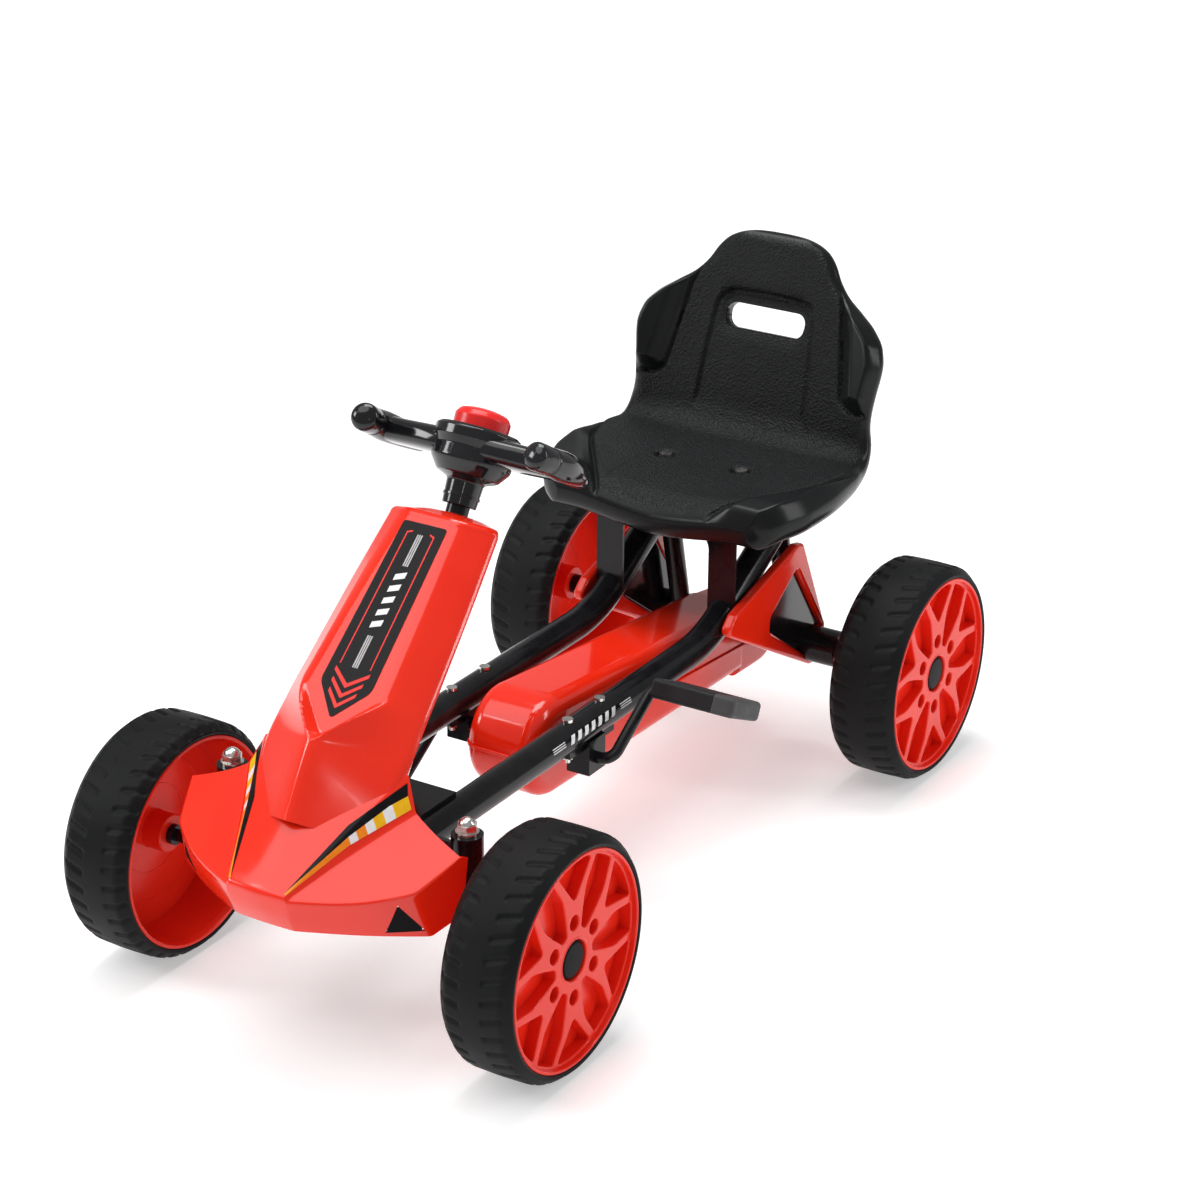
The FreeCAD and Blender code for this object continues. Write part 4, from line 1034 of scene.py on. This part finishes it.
def hood_cap():
    """Rounded rim and shallow dome over the cover's top, with the column's hole."""
    front, rear = hood_loop(HOOD_RIM_UP)
    loop = front + rear[1:-1]
    rings = []
    for i in range(8):
        turn = math.pi / 2 * i / 7
        inset = 8 * (1 - math.cos(turn))
        up = HOOD_RIM_UP + 8 * math.sin(turn)
        rings.append([(Vector(p) * (1 - inset / Vector(p).length), up) for p in loop])
    edge = rings[-1]
    for i in range(1, 9):
        share = i / 8
        ring = []
        for place, up in edge:
            hole = place.normalized() * COLUMN_HOLE
            ring.append((place.lerp(hole, share), up + 5.5 * math.sin(share * math.pi / 2)))
        rings.append(ring)
    points = [column_at(place.x, place.y, up) for ring in rings for place, up in ring]
    return points, grid_faces(len(rings), len(loop), 0, wrap=True)


def trimmed(obj, low_z):
    """Removes the sheet below a height, and what the nose bumper hides."""
    work = bmesh.new()
    work.from_mesh(obj.data)
    geometry = work.verts[:] + work.edges[:] + work.faces[:]
    bmesh.ops.bisect_plane(work, geom=geometry, plane_co=(0, 0, low_z * MM), plane_no=(0, 0, -1),
                           clear_outer=True)
    hidden = []
    for face in work.faces:
        place = face.calc_center_median() / MM
        if place.y < BUMPER_COVERS[0] and place.z < BUMPER_COVERS[1]:
            hidden.append(face)
    bmesh.ops.delete(work, geom=hidden, context="FACES")
    work.to_mesh(obj.data)
    work.free()
    return obj


def make_hood():
    count = int((HOOD_RIM_UP - HOOD_FOOT_UP) / HOOD_ROW) + 1
    heights = [HOOD_FOOT_UP + HOOD_ROW * i for i in range(count)] + [HOOD_RIM_UP]
    loops = [hood_loop(up) for up in heights]
    foot_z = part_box("column_cover_rear")[0].z / MM
    front_points = []
    rear_points = []
    for up, (front, rear) in zip(heights, loops):
        front_points += [column_at(x, back, up) for x, back in front]
        rear_points += [column_at(x, back + 0.5, up) for x, back in rear]
    cap_points, cap_faces = hood_cap()
    start = len(front_points)
    faces = grid_faces(len(heights), len(loops[0][0]))
    faces += [tuple(index + start for index in face) for face in cap_faces]
    front = make_mesh("cover_front_shell", front_points + cap_points, faces)
    rear = make_mesh("cover_rear_shell", rear_points, grid_faces(len(heights), len(loops[0][1])))
    for shell, outside in ((front, COLUMN_BACK * -1), (rear, COLUMN_BACK)):
        face_towards(shell, outside)
        trimmed(shell, foot_z)
        thicken(shell, HOOD_WALL, 50)
    settle(front, "chassis", "red_gloss_plastic", RED, "column_cover_front")
    settle(rear, "chassis", "red_gloss_plastic", RED, "column_cover_rear")


make_hood()


def panel_film(name, outline, material, lift):
    """Printed film on the flat front panel, from (x, up) points."""
    points = [column_at(x, panel_back(up) - lift, up) for x, up in outline]
    film_piece = make_mesh(name, points, [tuple(range(len(points)))], outward=False)
    face_towards(film_piece, COLUMN_BACK * -1)
    return settle(film_piece, "chassis", "red_gloss_plastic", material)


def make_hood_film():
    """Black label with generic bars and chevrons."""
    label = rounded_path([(-24, 249), (24, 249), (28, 86), (0, 54.5), (-28, 86)], [3, 3, 14, 3, 14])
    panel_film("label_ground", label, FILM_BLACK, 0.5)
    for sign, side in ((1, "l"), (-1, "r")):
        line = [(sign * x, up) for x, up in ((16.0, 105), (17.3, 105), (15.3, 239), (9.5, 241), (9.5, 239.4),
                                             (13.9, 237.6))]
        panel_film("label_line_" + side, line, FILM_RED, 0.7)
    for row, (low, high) in enumerate(((206, 238), (104, 136))):
        for column in (-1, 0, 1):
            x = column * 2.2
            bar = [(x - 0.75, low), (x + 0.75, low), (x + 0.75, high), (x - 0.75, high)]
            panel_film(f"label_bar_{row}_{column + 1}", bar, FILM_GREY, 0.7)
    for i in range(5):
        low = 143 + i * 12.0
        slash = [(-5.5, low), (5.5, low + 4), (5.5, low + 10), (-5.5, low + 6)]
        panel_film(f"label_slash_{i}", slash, FILM_WHITE, 0.7)
    for i in range(3):
        tip = 64 + i * 10.0
        wide = 15 + i * 2.0
        chevron = [(0, tip), (wide, tip + 14), (wide, tip + 18), (0, tip + 4.5), (-wide, tip + 18),
                   (-wide, tip + 14)]
        panel_film(f"label_chevron_{i}", chevron, FILM_RED, 0.7)


make_hood_film()


# ---------------------------------------------------------------- nose bumper
NOSE_CAGE = [
    [(0, -425, 243), (0, -458, 213), (0, -494, 181), (0, -489, 160), (0, -479, 143)],
    [(78.6, -364.5, 265.6), (56, -424, 226), (30, -491.6, 182), (31, -487, 161), (31, -477.5, 143)],
    [(93.5, -375, 234), (63.5, -426, 210), (33, -491, 179), (34, -486, 161), (34, -476.5, 143)],
    [(115, -380, 222), (105, -414, 205), (92, -467, 180), (92, -461, 160), (90, -452, 143)],
    [(150, -388, 211), (142, -409, 200), (132, -432, 188), (135, -425, 165), (138, -417, 141)],
    [(153, -380, 208), (154, -384, 197), (153, -384, 186), (152, -388, 168), (150, -394, 152)],
]
NOSE_RIDGE_CREASE = 0.9
NOSE_FOLD_CREASE = 0.7
NOSE_EDGE_CREASE = 0.5
NOSE_CORNER_CREASE = 0.7
NOSE_WALL = 3.2
VENT_CORNERS = [(121, -444, 178), (137, -424, 148), (108, -445, 147)]
VENT_OUT = Vector((0.62, -0.78, 0.05)).normalized()


def make_nose():
    work = bmesh.new()
    crease = work.edges.layers.float.new("crease_edge")
    rows = len(NOSE_CAGE[0])
    columns = [[(-x, y, z) for x, y, z in column] for column in reversed(NOSE_CAGE[1:])] + NOSE_CAGE
    verts = [[work.verts.new(Vector(p) * MM) for p in column] for column in columns]
    for left, right in zip(verts, verts[1:]):
        for i in range(rows - 1):
            work.faces.new((left[i], left[i + 1], right[i + 1], right[i]))
    last = len(NOSE_CAGE) - 1
    for index, column in enumerate(verts):
        place = abs(index - last)
        for a, b in zip(column, column[1:]):
            weight = {1: NOSE_RIDGE_CREASE, 2: NOSE_FOLD_CREASE, 4: NOSE_CORNER_CREASE}.get(place, 0.0)
            if weight:
                work.edges.get((a, b))[crease] = weight
    for left, right in zip(verts, verts[1:]):
        work.edges.get((left[2], right[2]))[crease] = NOSE_EDGE_CREASE
    mesh = bpy.data.meshes.new("nose_shell")
    work.to_mesh(mesh)
    work.free()
    shell = link(bpy.data.objects.new("nose_shell", mesh))
    subdivide = shell.modifiers.new("subdivide", "SUBSURF")
    subdivide.levels = 4
    subdivide.boundary_smooth = "PRESERVE_CORNERS"
    apply_modifiers(shell)
    face_towards(shell, Vector((0, -1, 0)))
    tree = surface_of(shell)
    thicken(shell, NOSE_WALL)
    tools = []
    for sign in (1, -1):
        corners = [Vector((sign * x, y, z)) for x, y, z in VENT_CORNERS]
        out = Vector((sign * VENT_OUT.x, VENT_OUT.y, VENT_OUT.z))
        tools.append(loft("vent", [[p + out * 30 for p in corners], [p - out * 30 for p in corners]]))
    cut(shell, *tools)
    settle(shell, "chassis", "red_gloss_plastic", RED, "nose_bumper")
    return tree


NOSE_TREE = make_nose()
# Way in which the left side's films are pressed onto the bumper.
FILM_PUSH = Vector((-0.519, 0.717, -0.464))
STRIPE_TOP = [(30.1, -488.7, 185), (53.4, -422.4, 230.8), (81, -369.3, 258)]
STRIPE_MIDDLE = [(30.1, -488.7, 185), (56.6, -427.2, 222.3), (75.5, -389.7, 242.2), (85, -374.6, 248.2)]
STRIPE_LOW = [(31.5, -488.5, 183.6), (59.2, -431.1, 215.6), (91.1, -378.2, 238.1)]
BAND = [(0.0, 0.54, FILM_ORANGE), (0.54, 0.60, FILM_WHITE), (0.60, 0.67, FILM_ORANGE),
        (0.67, 0.735, FILM_WHITE), (0.735, 0.81, FILM_YELLOW), (0.81, 0.885, FILM_WHITE),
        (0.885, 1.0, FILM_YELLOW)]


def along_line(points, share):
    """Point at a share of a polyline's length."""
    points = [Vector(p) for p in points]
    lengths = [(b - a).length for a, b in zip(points, points[1:])]
    goal = share * sum(lengths)
    for a, b, length in zip(points, points[1:], lengths):
        if goal <= length:
            return a.lerp(b, goal / length)
        goal -= length
    return points[-1]


def stripe(name, upper, lower, start, end, sign, material, lift=0.35):
    """Film between two lines on the bumper, over a share of their length."""
    push = Vector((FILM_PUSH.x * sign, FILM_PUSH.y, FILM_PUSH.z))
    rows = max(3, int(60 * (end - start)))
    points = []
    for i in range(rows + 1):
        share = blend_values(start, end, i / rows)
        a = along_line(upper, share)
        b = along_line(lower, share)
        for j in range(5):
            flat = a.lerp(b, j / 4)
            flat.x *= sign
            hit, normal, _, _ = NOSE_TREE.ray_cast(flat - push * 60, push)
            if hit is None:
                hit, normal, _, _ = NOSE_TREE.find_nearest(flat)
            if normal.dot(push) > 0:
                normal = -normal
            points.append(hit + normal * lift)
    film_piece = make_mesh(name, points, grid_faces(rows + 1, 5), outward=False)
    face_towards(film_piece, push * -1)
    settle(film_piece, "chassis", "red_gloss_plastic", material)


for stripe_side, stripe_sign in (("left", 1), ("right", -1)):
    stripe("wedge_" + stripe_side, STRIPE_TOP, STRIPE_MIDDLE, 0.01, 1, stripe_sign, FILM_BLACK)
    for band_index, (band_start, band_end, band_film) in enumerate(BAND):
        stripe(f"band_{stripe_side}_{band_index}", STRIPE_MIDDLE, STRIPE_LOW, band_start, band_end,
               stripe_sign, band_film)


# ---------------------------------------------------------------- steering yoke and horn button
GRIP_UP = 333.0
GRIP_POINTS = [(93.0, -57.0), (99.0, 0.0), (85.0, 56.0)]
# The horn sinks 4 mm into the bowl, so the well is deeper than that below its foot.
HORN_FOOT_UP = 349.2
HORN_WELL_UP = 344.4


def grip_centre(t):
    """Place on the grip's arc in the yoke's plane, as (x, back): a parabola through its three points."""
    (x0, b0), (x1, b1), (x2, b2) = GRIP_POINTS
    return Vector((x0 * (1 - t) * (1 - 2 * t) + x1 * 4 * t * (1 - t) + x2 * t * (2 * t - 1),
                   b0 * (1 - t) * (1 - 2 * t) + b1 * 4 * t * (1 - t) + b2 * t * (2 * t - 1)))


def grip_radius(share):
    """Knob at the front end, a neck behind it, a fuller middle and a slimmer rear end."""
    base = ramp([(0.0, 13.4), (0.12, 13.8), (0.21, 13.4), (0.45, 14.6), (0.7, 13.4), (1.0, 10.5)], share)
    seam = math.exp(-((share - 0.235) / 0.007) ** 2) * 0.9
    start = clamp((share + 0.001) / 0.065)
    end = clamp((1.001 - share) / 0.08)
    rounding = math.sqrt(max(0.0, 1 - (1 - start) ** 2)) * math.sqrt(max(0.0, 1 - (1 - end) ** 2))
    return max(0.05, (base - seam) * rounding)


def yoke_grip(side):
    """One horn-shaped grip."""
    sign = SIDES[side]
    rings = []
    count = 110
    for i in range(count + 1):
        share = i / count
        here = grip_centre(share)
        ahead = grip_centre(min(1.0, share + 0.01)) - grip_centre(max(0.0, share - 0.01))
        ahead.normalize()
        out = Vector((ahead.y, -ahead.x))
        radius = grip_radius(share)
        ring = []
        for step in range(36):
            turn = math.tau * step / 36
            across = out * math.cos(turn) * radius
            ring.append(column_at(sign * (here.x + across.x), here.y + across.y,
                                  GRIP_UP + math.sin(turn) * radius))
        rings.append(ring)
    return loft("grip", rings)


def power(value, exponent):
    """Power that keeps the sign."""
    return math.copysign(abs(value) ** exponent, value)


def yoke_spoke():
    """Cross bar, deeper and thicker towards the bowl."""
    rings = []
    for i in range(-46, 47):
        x = 2.05 * i
        middle_share = 1 - smooth_step(abs(x), 25, 92)
        half_depth = blend_values(21.0, 30.0, middle_share)
        half_height = blend_values(12.0, 12.8, middle_share)
        ring = []
        for step in range(40):
            turn = math.tau * step / 40
            ring.append(column_at(x, half_depth * power(math.cos(turn), 0.62),
                                  GRIP_UP - 1 + half_height * power(math.sin(turn), 0.62)))
        rings.append(ring)
    return loft("spoke", rings)


def make_yoke():
    corners = [(0, 276), (16.5, 276), (18, 300), (30, 305), (39, 317), (38, 330), (41.5, 338), (41.5, 347),
               (38, 350), (28.8, 350), (28.8, HORN_WELL_UP), (0, HORN_WELL_UP)]
    profile = rounded_path(corners, [0, 1.5, 3, 5, 8, 4, 2, 2.5, 2, 1, 0.5, 0], closed=False, steps=6)
    bowl = lathe("bowl", profile, COLUMN_FOOT, COLUMN_UP, 96, 60)
    collar = rounded_path([(16.4, 284), (17.9, 284), (18.0, 287), (16.4, 287)], 0.4)
    ring = lathe("neck_ring", collar + collar[:1], COLUMN_FOOT, COLUMN_UP, 72)
    clips = []
    for sign in (1, -1):
        outline = rounded_path([(sign * 50 + u, v) for u, v in ((-8, -4), (8, -4), (8, 4), (-8, 4))], 1.2)
        clips.append(plate("clip", outline, [], 0, 2.6, 0.6,
                           lambda u, v, h: column_at(u, v, GRIP_UP + 9.2 + h)))
    yoke = join("steering_yoke", [bowl, ring, yoke_spoke(), yoke_grip("left"), yoke_grip("right")] + clips)
    settle(yoke, "steering", "black_gloss_plastic", BLACK_GLOSS, "steering_wheel")
    dome = rounded_path([(0, HORN_FOOT_UP), (26.6, HORN_FOOT_UP), (27, 361), (23, 367), (13, 369.5), (0, 370)],
                        [0, 0.6, 4, 8, 20, 0], closed=False, steps=8)
    button = lathe("horn_dome", dome, COLUMN_FOOT, COLUMN_UP, 96, 60)
    settle(button, "horn_button", "red_button_plastic", RED_BUTTON, "horn_button")


make_yoke()


# ---------------------------------------------------------------- pedals
PEDAL_TILT = math.radians(-25.0)
PEDAL_HALF_WIDTH = 31.0
PEDAL_HALF_THICK = 10.0
RIB_PITCH = 9.5


def pedal_ring(x, centre, shrink, groove):
    """Rounded rectangle across the pedal at x, its middle sunk by the groove."""
    wide = PEDAL_HALF_WIDTH - shrink
    thick = PEDAL_HALF_THICK - shrink
    outline = rounded_path([(-wide, -thick), (-22, -thick), (22, -thick), (wide, -thick),
                            (wide, thick), (22, thick), (-22, thick), (-wide, thick)],
                           [7.5 - shrink, 0, 0, 7.5 - shrink] * 2, steps=7)
    ring = []
    for y, z in outline:
        inner = 1 - smooth_step(abs(y), 21, 23)
        z -= math.copysign(groove * inner, z)
        ring.append(Vector((x, centre.y + y * math.cos(PEDAL_TILT) - z * math.sin(PEDAL_TILT),
                            centre.z + y * math.sin(PEDAL_TILT) + z * math.cos(PEDAL_TILT))))
    return ring


def make_pedal(side):
    sign = SIDES[side]
    centre = middle("pedal_" + side)
    low, high = sorted(abs(corner.x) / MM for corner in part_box("pedal_" + side))
    cap_high = max(abs(corner.x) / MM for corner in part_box("pedal_cap_" + side))
    rings = []
    steps = int((high - low) / 0.6)
    for i in range(steps + 1):
        x = blend_values(low, high - 0.4, i / steps)
        start = clamp((x - low) / 2.0)
        shrink = 2.0 * (1 - math.sqrt(max(0.0, 1 - (1 - start) ** 2)))
        phase = ((x - low - 9) % RIB_PITCH) / RIB_PITCH
        groove = 1.8 * smooth_step(phase, 0.30, 0.42) * (1 - smooth_step(phase, 0.86, 0.98))
        if x < low + 9 or x > high - 6:
            groove = 0.0
        rings.append(pedal_ring(sign * x, centre, shrink, groove))
    body = loft("tread_" + side, rings, 35)
    settle(body, "pedal_" + side, "pedal_plastic", BLACK_SATIN, "pedal_" + side)
    rings = []
    for i in range(25):
        x = blend_values(high + 0.2, cap_high, i / 24)
        end = clamp((cap_high - x) / 5.0)
        shrink = 4.0 * (1 - math.sqrt(max(0.0, 1 - (1 - end) ** 2)))
        rings.append(pedal_ring(sign * x, centre, shrink, 0.0))
    cap = loft("tread_cap_" + side, rings, 35)
    settle(cap, "pedal_" + side, "pedal_plastic", CAP_GREY, "pedal_cap_" + side)


for pedal_side in SIDES:
    make_pedal(pedal_side)


# ---------------------------------------------------------------- chain guard
CRANK = middle("crank_sprocket")
GUARD_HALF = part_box("chain_guard_upper")[1].x / MM
GUARD_NOSE = 53.0
GUARD_TAIL = (345.0, 125.0, 38.0)
GUARD_BODY_END = 334.0
GUARD_WALL = 2.5


def belt(first, radius_a, second, radius_b, steps=40):
    """Outline round two circles given as (y, z) centres and radii."""
    a, b = Vector(first), Vector(second)
    way = b - a
    base = math.atan2(way.y, way.x)
    lean = math.acos((radius_a - radius_b) / way.length)
    out = []
    for i in range(steps + 1):
        angle = base + lean + (math.tau - 2 * lean) * i / steps
        out.append((a.x + radius_a * math.cos(angle), a.y + radius_a * math.sin(angle)))
    for i in range(steps + 1):
        angle = base - lean + 2 * lean * i / steps
        out.append((b.x + radius_b * math.cos(angle), b.y + radius_b * math.sin(angle)))
    return out


def upright(u, v, height):
    """Maps an outline in (y, z) and a height across to a point."""
    return Vector((height, u, v))


def clipped(outline, low_y, high_y):
    """Outline in (y, z) cut off square at two lengths along the kart."""
    out = []
    for before, here in zip(outline[-1:] + outline[:-1], outline):
        for limit in (low_y, high_y):
            if (before[0] - limit) * (here[0] - limit) < 0:
                share = (limit - before[0]) / (here[0] - before[0])
                out.append((limit, blend_values(before[1], here[1], share)))
        if low_y <= here[0] <= high_y:
            out.append(here)
    kept = []
    for point in out:
        if not kept or math.dist(point, kept[-1]) > 0.3:
            kept.append(point)
    return kept


def guard_form(name, inset):
    """Main box of the chain guard, shrunk by the inset."""
    tail_y, tail_z, tail_radius = GUARD_TAIL
    body = belt((CRANK.y, CRANK.z), GUARD_NOSE - inset, (tail_y, tail_z), tail_radius - inset)
    body = clipped(body, -999, GUARD_BODY_END - inset)
    return plate(name, body, [], -GUARD_HALF + inset, GUARD_HALF - inset, 16.0 - inset, upright, 7)


def lobe_form(name, inset):
    """Round end of the chain guard over the axle sprocket, shrunk by the inset."""
    lobe = belt((AXLE_Y["rear"] - 60, AXLE_Z + 6), 41.0 - inset, (AXLE_Y["rear"], AXLE_Z), 37.5 - inset)
    lobe = clipped(lobe, 322.0 + inset, 999)
    return plate(name, lobe, [], -GUARD_HALF + 6 + inset, GUARD_HALF - 6 - inset, 7.0 - inset, upright, 5)


def shaft_tool(radius, y, z):
    """Rod across the kart that cuts a shaft hole."""
    return lathe("shaft_tool", [(0, -120), (radius, -120), (radius, 120), (0, 120)], (0, y, z), (1, 0, 0), 48)


def make_guard():
    body = cut(guard_form("guard_body", 0.0), guard_form("hollow", GUARD_WALL),
               shaft_tool(9.0, CRANK.y, CRANK.z))
    lobe = cut(lobe_form("guard_lobe", 0.0), lobe_form("hollow", GUARD_WALL),
               shaft_tool(11.0, AXLE_Y["rear"], AXLE_Z))
    rise = (AXLE_Z - CRANK.z) / (AXLE_Y["rear"] - CRANK.y)
    nose_y = CRANK.y - GUARD_NOSE
    half = GUARD_HALF + 2.2
    outline = rounded_path([(-half, nose_y - 2.5), (half, nose_y - 2.5), (half, GUARD_BODY_END),
                            (-half, GUARD_BODY_END)], [20, 20, 3, 3], steps=10)
    hole = rounded_path([(-half + 4, nose_y + 1.5), (half - 4, nose_y + 1.5), (half - 4, GUARD_BODY_END - 4),
                         (-half + 4, GUARD_BODY_END - 4)], [16, 16, 3, 3], steps=10)
    flange = plate("guard_flange", outline, [hole[::-1]], -1.6, 1.6, 0.7,
                   lambda u, v, h: Vector((u, v, CRANK.z + rise * (v - CRANK.y) + h)))
    flange = cut(flange, shaft_tool(9.0, CRANK.y, CRANK.z))
    guard = join("chain_casing", [body, lobe, flange])
    settle(guard, "chassis", "red_gloss_plastic", RED, "chain_guard_upper", "chain_guard_lower")


make_guard()


# ---------------------------------------------------------------- rear corner covers
COVER_OUTLINE = [(187, 196), (206, 213), (338, 246), (352, 243), (408, 128), (383, 88)]
INSET_OUTLINE = [(281, 166), (282, 182), (338, 219), (402, 129), (383, 94)]


def make_rear_cover(side):
    sign = SIDES[side]
    low, high = sorted(abs(corner.x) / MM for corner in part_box("rear_cover_" + side))
    outer = rounded_path(COVER_OUTLINE, [8, 12, 8, 6, 9, 11], steps=8)
    hole = rounded_path(INSET_OUTLINE, 6, steps=6)

    def place(u, v, height):
        return Vector((sign * height, u, v))

    cover = plate("corner_cover_" + side, outer, [hole], low, high, 3.6, place, 6)
    settle(cover, "chassis", "red_gloss_plastic", RED, "rear_cover_" + side)
    inner = rounded_path(INSET_OUTLINE, 5, steps=6)
    inset = plate("corner_inset_" + side, inner, [], low, low + 5.5, 1.4, place, 4)
    settle(inset, "chassis", "black_gloss_plastic", BLACK_GLOSS, "rear_inset_" + side)


for cover_side in SIDES:
    make_rear_cover(cover_side)


# ---------------------------------------------------------------- rail print
RAIL_RADIUS = 16.0
RAIL_CENTRE_X = 68.0
RAIL_CENTRE_Z = 183.0


def rail_film(name, start, end, low, high, slant=0.0):
    """White print on the left rail's outer side: start to end along it, low to high degrees round it."""
    points = []
    rows = 7
    for i in range(rows):
        share = i / (rows - 1)
        turn = math.radians(blend_values(low, high, share))
        for y in (start, end):
            points.append(Vector((RAIL_CENTRE_X + (RAIL_RADIUS + 0.2) * math.cos(turn), y + slant * share,
                                  RAIL_CENTRE_Z + (RAIL_RADIUS + 0.2) * math.sin(turn))))
    printed = make_mesh(name, points, grid_faces(rows, 2), outward=False)
    face_towards(printed, Vector((1, 0, 0)))
    settle(printed, "chassis", "black_painted_steel", FILM_WHITE)


def make_rail_print():
    for line in range(3):
        low = 12 + line * 8.0
        rail_film(f"rail_line_front_{line}", -128, -106, low, low + 3.5)
        rail_film(f"rail_line_back_{line}", -4, 16, low, low + 3.5)
    for bar in range(7):
        start = -98 + bar * 12.5
        rail_film(f"rail_bar_{bar}", start, start + 6.5, 6, 36, 5.0)


make_rail_print()


# ---------------------------------------------------------------- camera and stage
CAMERA_PLACE = (1.5905, -2.5147, 1.5702)
CAMERA_AZIMUTH = math.radians(31.40)
CAMERA_ELEVATION = math.radians(23.39)
CAMERA_ROLL = math.radians(0.53)
CAMERA_LENS = 98.08
FLOOR_HALF = 6000


def make_camera():
    away = Vector((math.sin(CAMERA_AZIMUTH) * math.cos(CAMERA_ELEVATION),
                   -math.cos(CAMERA_AZIMUTH) * math.cos(CAMERA_ELEVATION), math.sin(CAMERA_ELEVATION)))
    level = Vector((math.cos(CAMERA_AZIMUTH), math.sin(CAMERA_AZIMUTH), 0))
    upright = away.cross(level)
    right = level * math.cos(CAMERA_ROLL) + upright * math.sin(CAMERA_ROLL)
    up = upright * math.cos(CAMERA_ROLL) - level * math.sin(CAMERA_ROLL)
    data = bpy.data.cameras.new("camera")
    data.sensor_width = 36.0
    data.lens = CAMERA_LENS
    camera = link(bpy.data.objects.new("camera", data))
    turn = Matrix((right, up, away)).transposed().to_4x4()
    camera.matrix_world = Matrix.Translation(CAMERA_PLACE) @ turn
    bpy.context.scene.camera = camera


def area_light(name, place, target, size, power):
    data = bpy.data.lights.new(name, "AREA")
    data.shape = "RECTANGLE"
    data.size, data.size_y = size
    data.energy = power
    lamp = link(bpy.data.objects.new(name, data))
    direction = Vector(place) - Vector(target)
    lamp.matrix_world = Matrix.Translation(place) @ direction.to_track_quat("Z", "Y").to_matrix().to_4x4()


def make_world():
    """Even light all round at 0.36, seen as plain white behind the floor."""
    world = bpy.data.worlds.new("studio")
    world.use_nodes = True
    nodes, links = world.node_tree.nodes, world.node_tree.links
    around = nodes["Background"]
    around.inputs["Color"].default_value = (1, 1, 1, 1)
    around.inputs["Strength"].default_value = 0.36
    behind = nodes.new("ShaderNodeBackground")
    behind.inputs["Color"].default_value = (1, 1, 1, 1)
    rays = nodes.new("ShaderNodeLightPath")
    mix = nodes.new("ShaderNodeMixShader")
    links.new(rays.outputs["Is Camera Ray"], mix.inputs["Fac"])
    links.new(around.outputs["Background"], mix.inputs[1])
    links.new(behind.outputs["Background"], mix.inputs[2])
    links.new(mix.outputs["Shader"], nodes["World Output"].inputs["Surface"])
    bpy.context.scene.world = world


def make_stage():
    corners = [(u * FLOOR_HALF, v * FLOOR_HALF, 0) for u, v in ((-1, -1), (1, -1), (1, 1), (-1, 1))]
    floor = make_mesh("studio_floor", corners, [(0, 1, 2, 3)], outward=False)
    material, tree, shader = new_material("pale_floor")
    cloud = add_noise(tree, 0.8, 2.0)
    tree.links.new(two_tone(tree, cloud.outputs["Fac"], (0.78, 0.78, 0.785), (0.82, 0.82, 0.82)),
                   shader.inputs["Base Color"])
    shader.inputs["Roughness"].default_value = 0.7
    shader.inputs["Specular IOR Level"].default_value = 0.1
    shader.inputs["Emission Color"].default_value = (1, 1, 1, 1)
    shader.inputs["Emission Strength"].default_value = 0.38
    floor.data.materials.append(material)
    make_world()
    bpy.context.scene.view_settings.view_transform = "Standard"
    sun = bpy.data.lights.new("even_daylight", "SUN")
    sun.energy = 1.3
    sun.angle = math.radians(50)
    lamp = link(bpy.data.objects.new("even_daylight", sun))
    lamp.rotation_euler = (math.radians(18), math.radians(-14), 0)
    area_light("overhead_softbox", (-0.3, 0.5, 2.6), (0, 0, 0.2), (1.5, 1.1), 36)
    area_light("front_softbox", (-2.3, -1.7, 1.6), (0, -0.2, 0.2), (1.0, 0.8), 26)
    area_light("keel_window", (1.78, -2.87, 1.84), (0.02, -0.41, 0.26), (0.13, 0.2), 0.9)
    area_light("beak_window", (-1.05, -1.20, 1.61), (-0.015, -0.478, 0.198), (0.11, 0.13), 0.35)
    area_light("side_strip", (2.4, 0.9, 1.3), (0, 0, 0.25), (0.35, 1.8), 16)


make_camera()
make_stage()
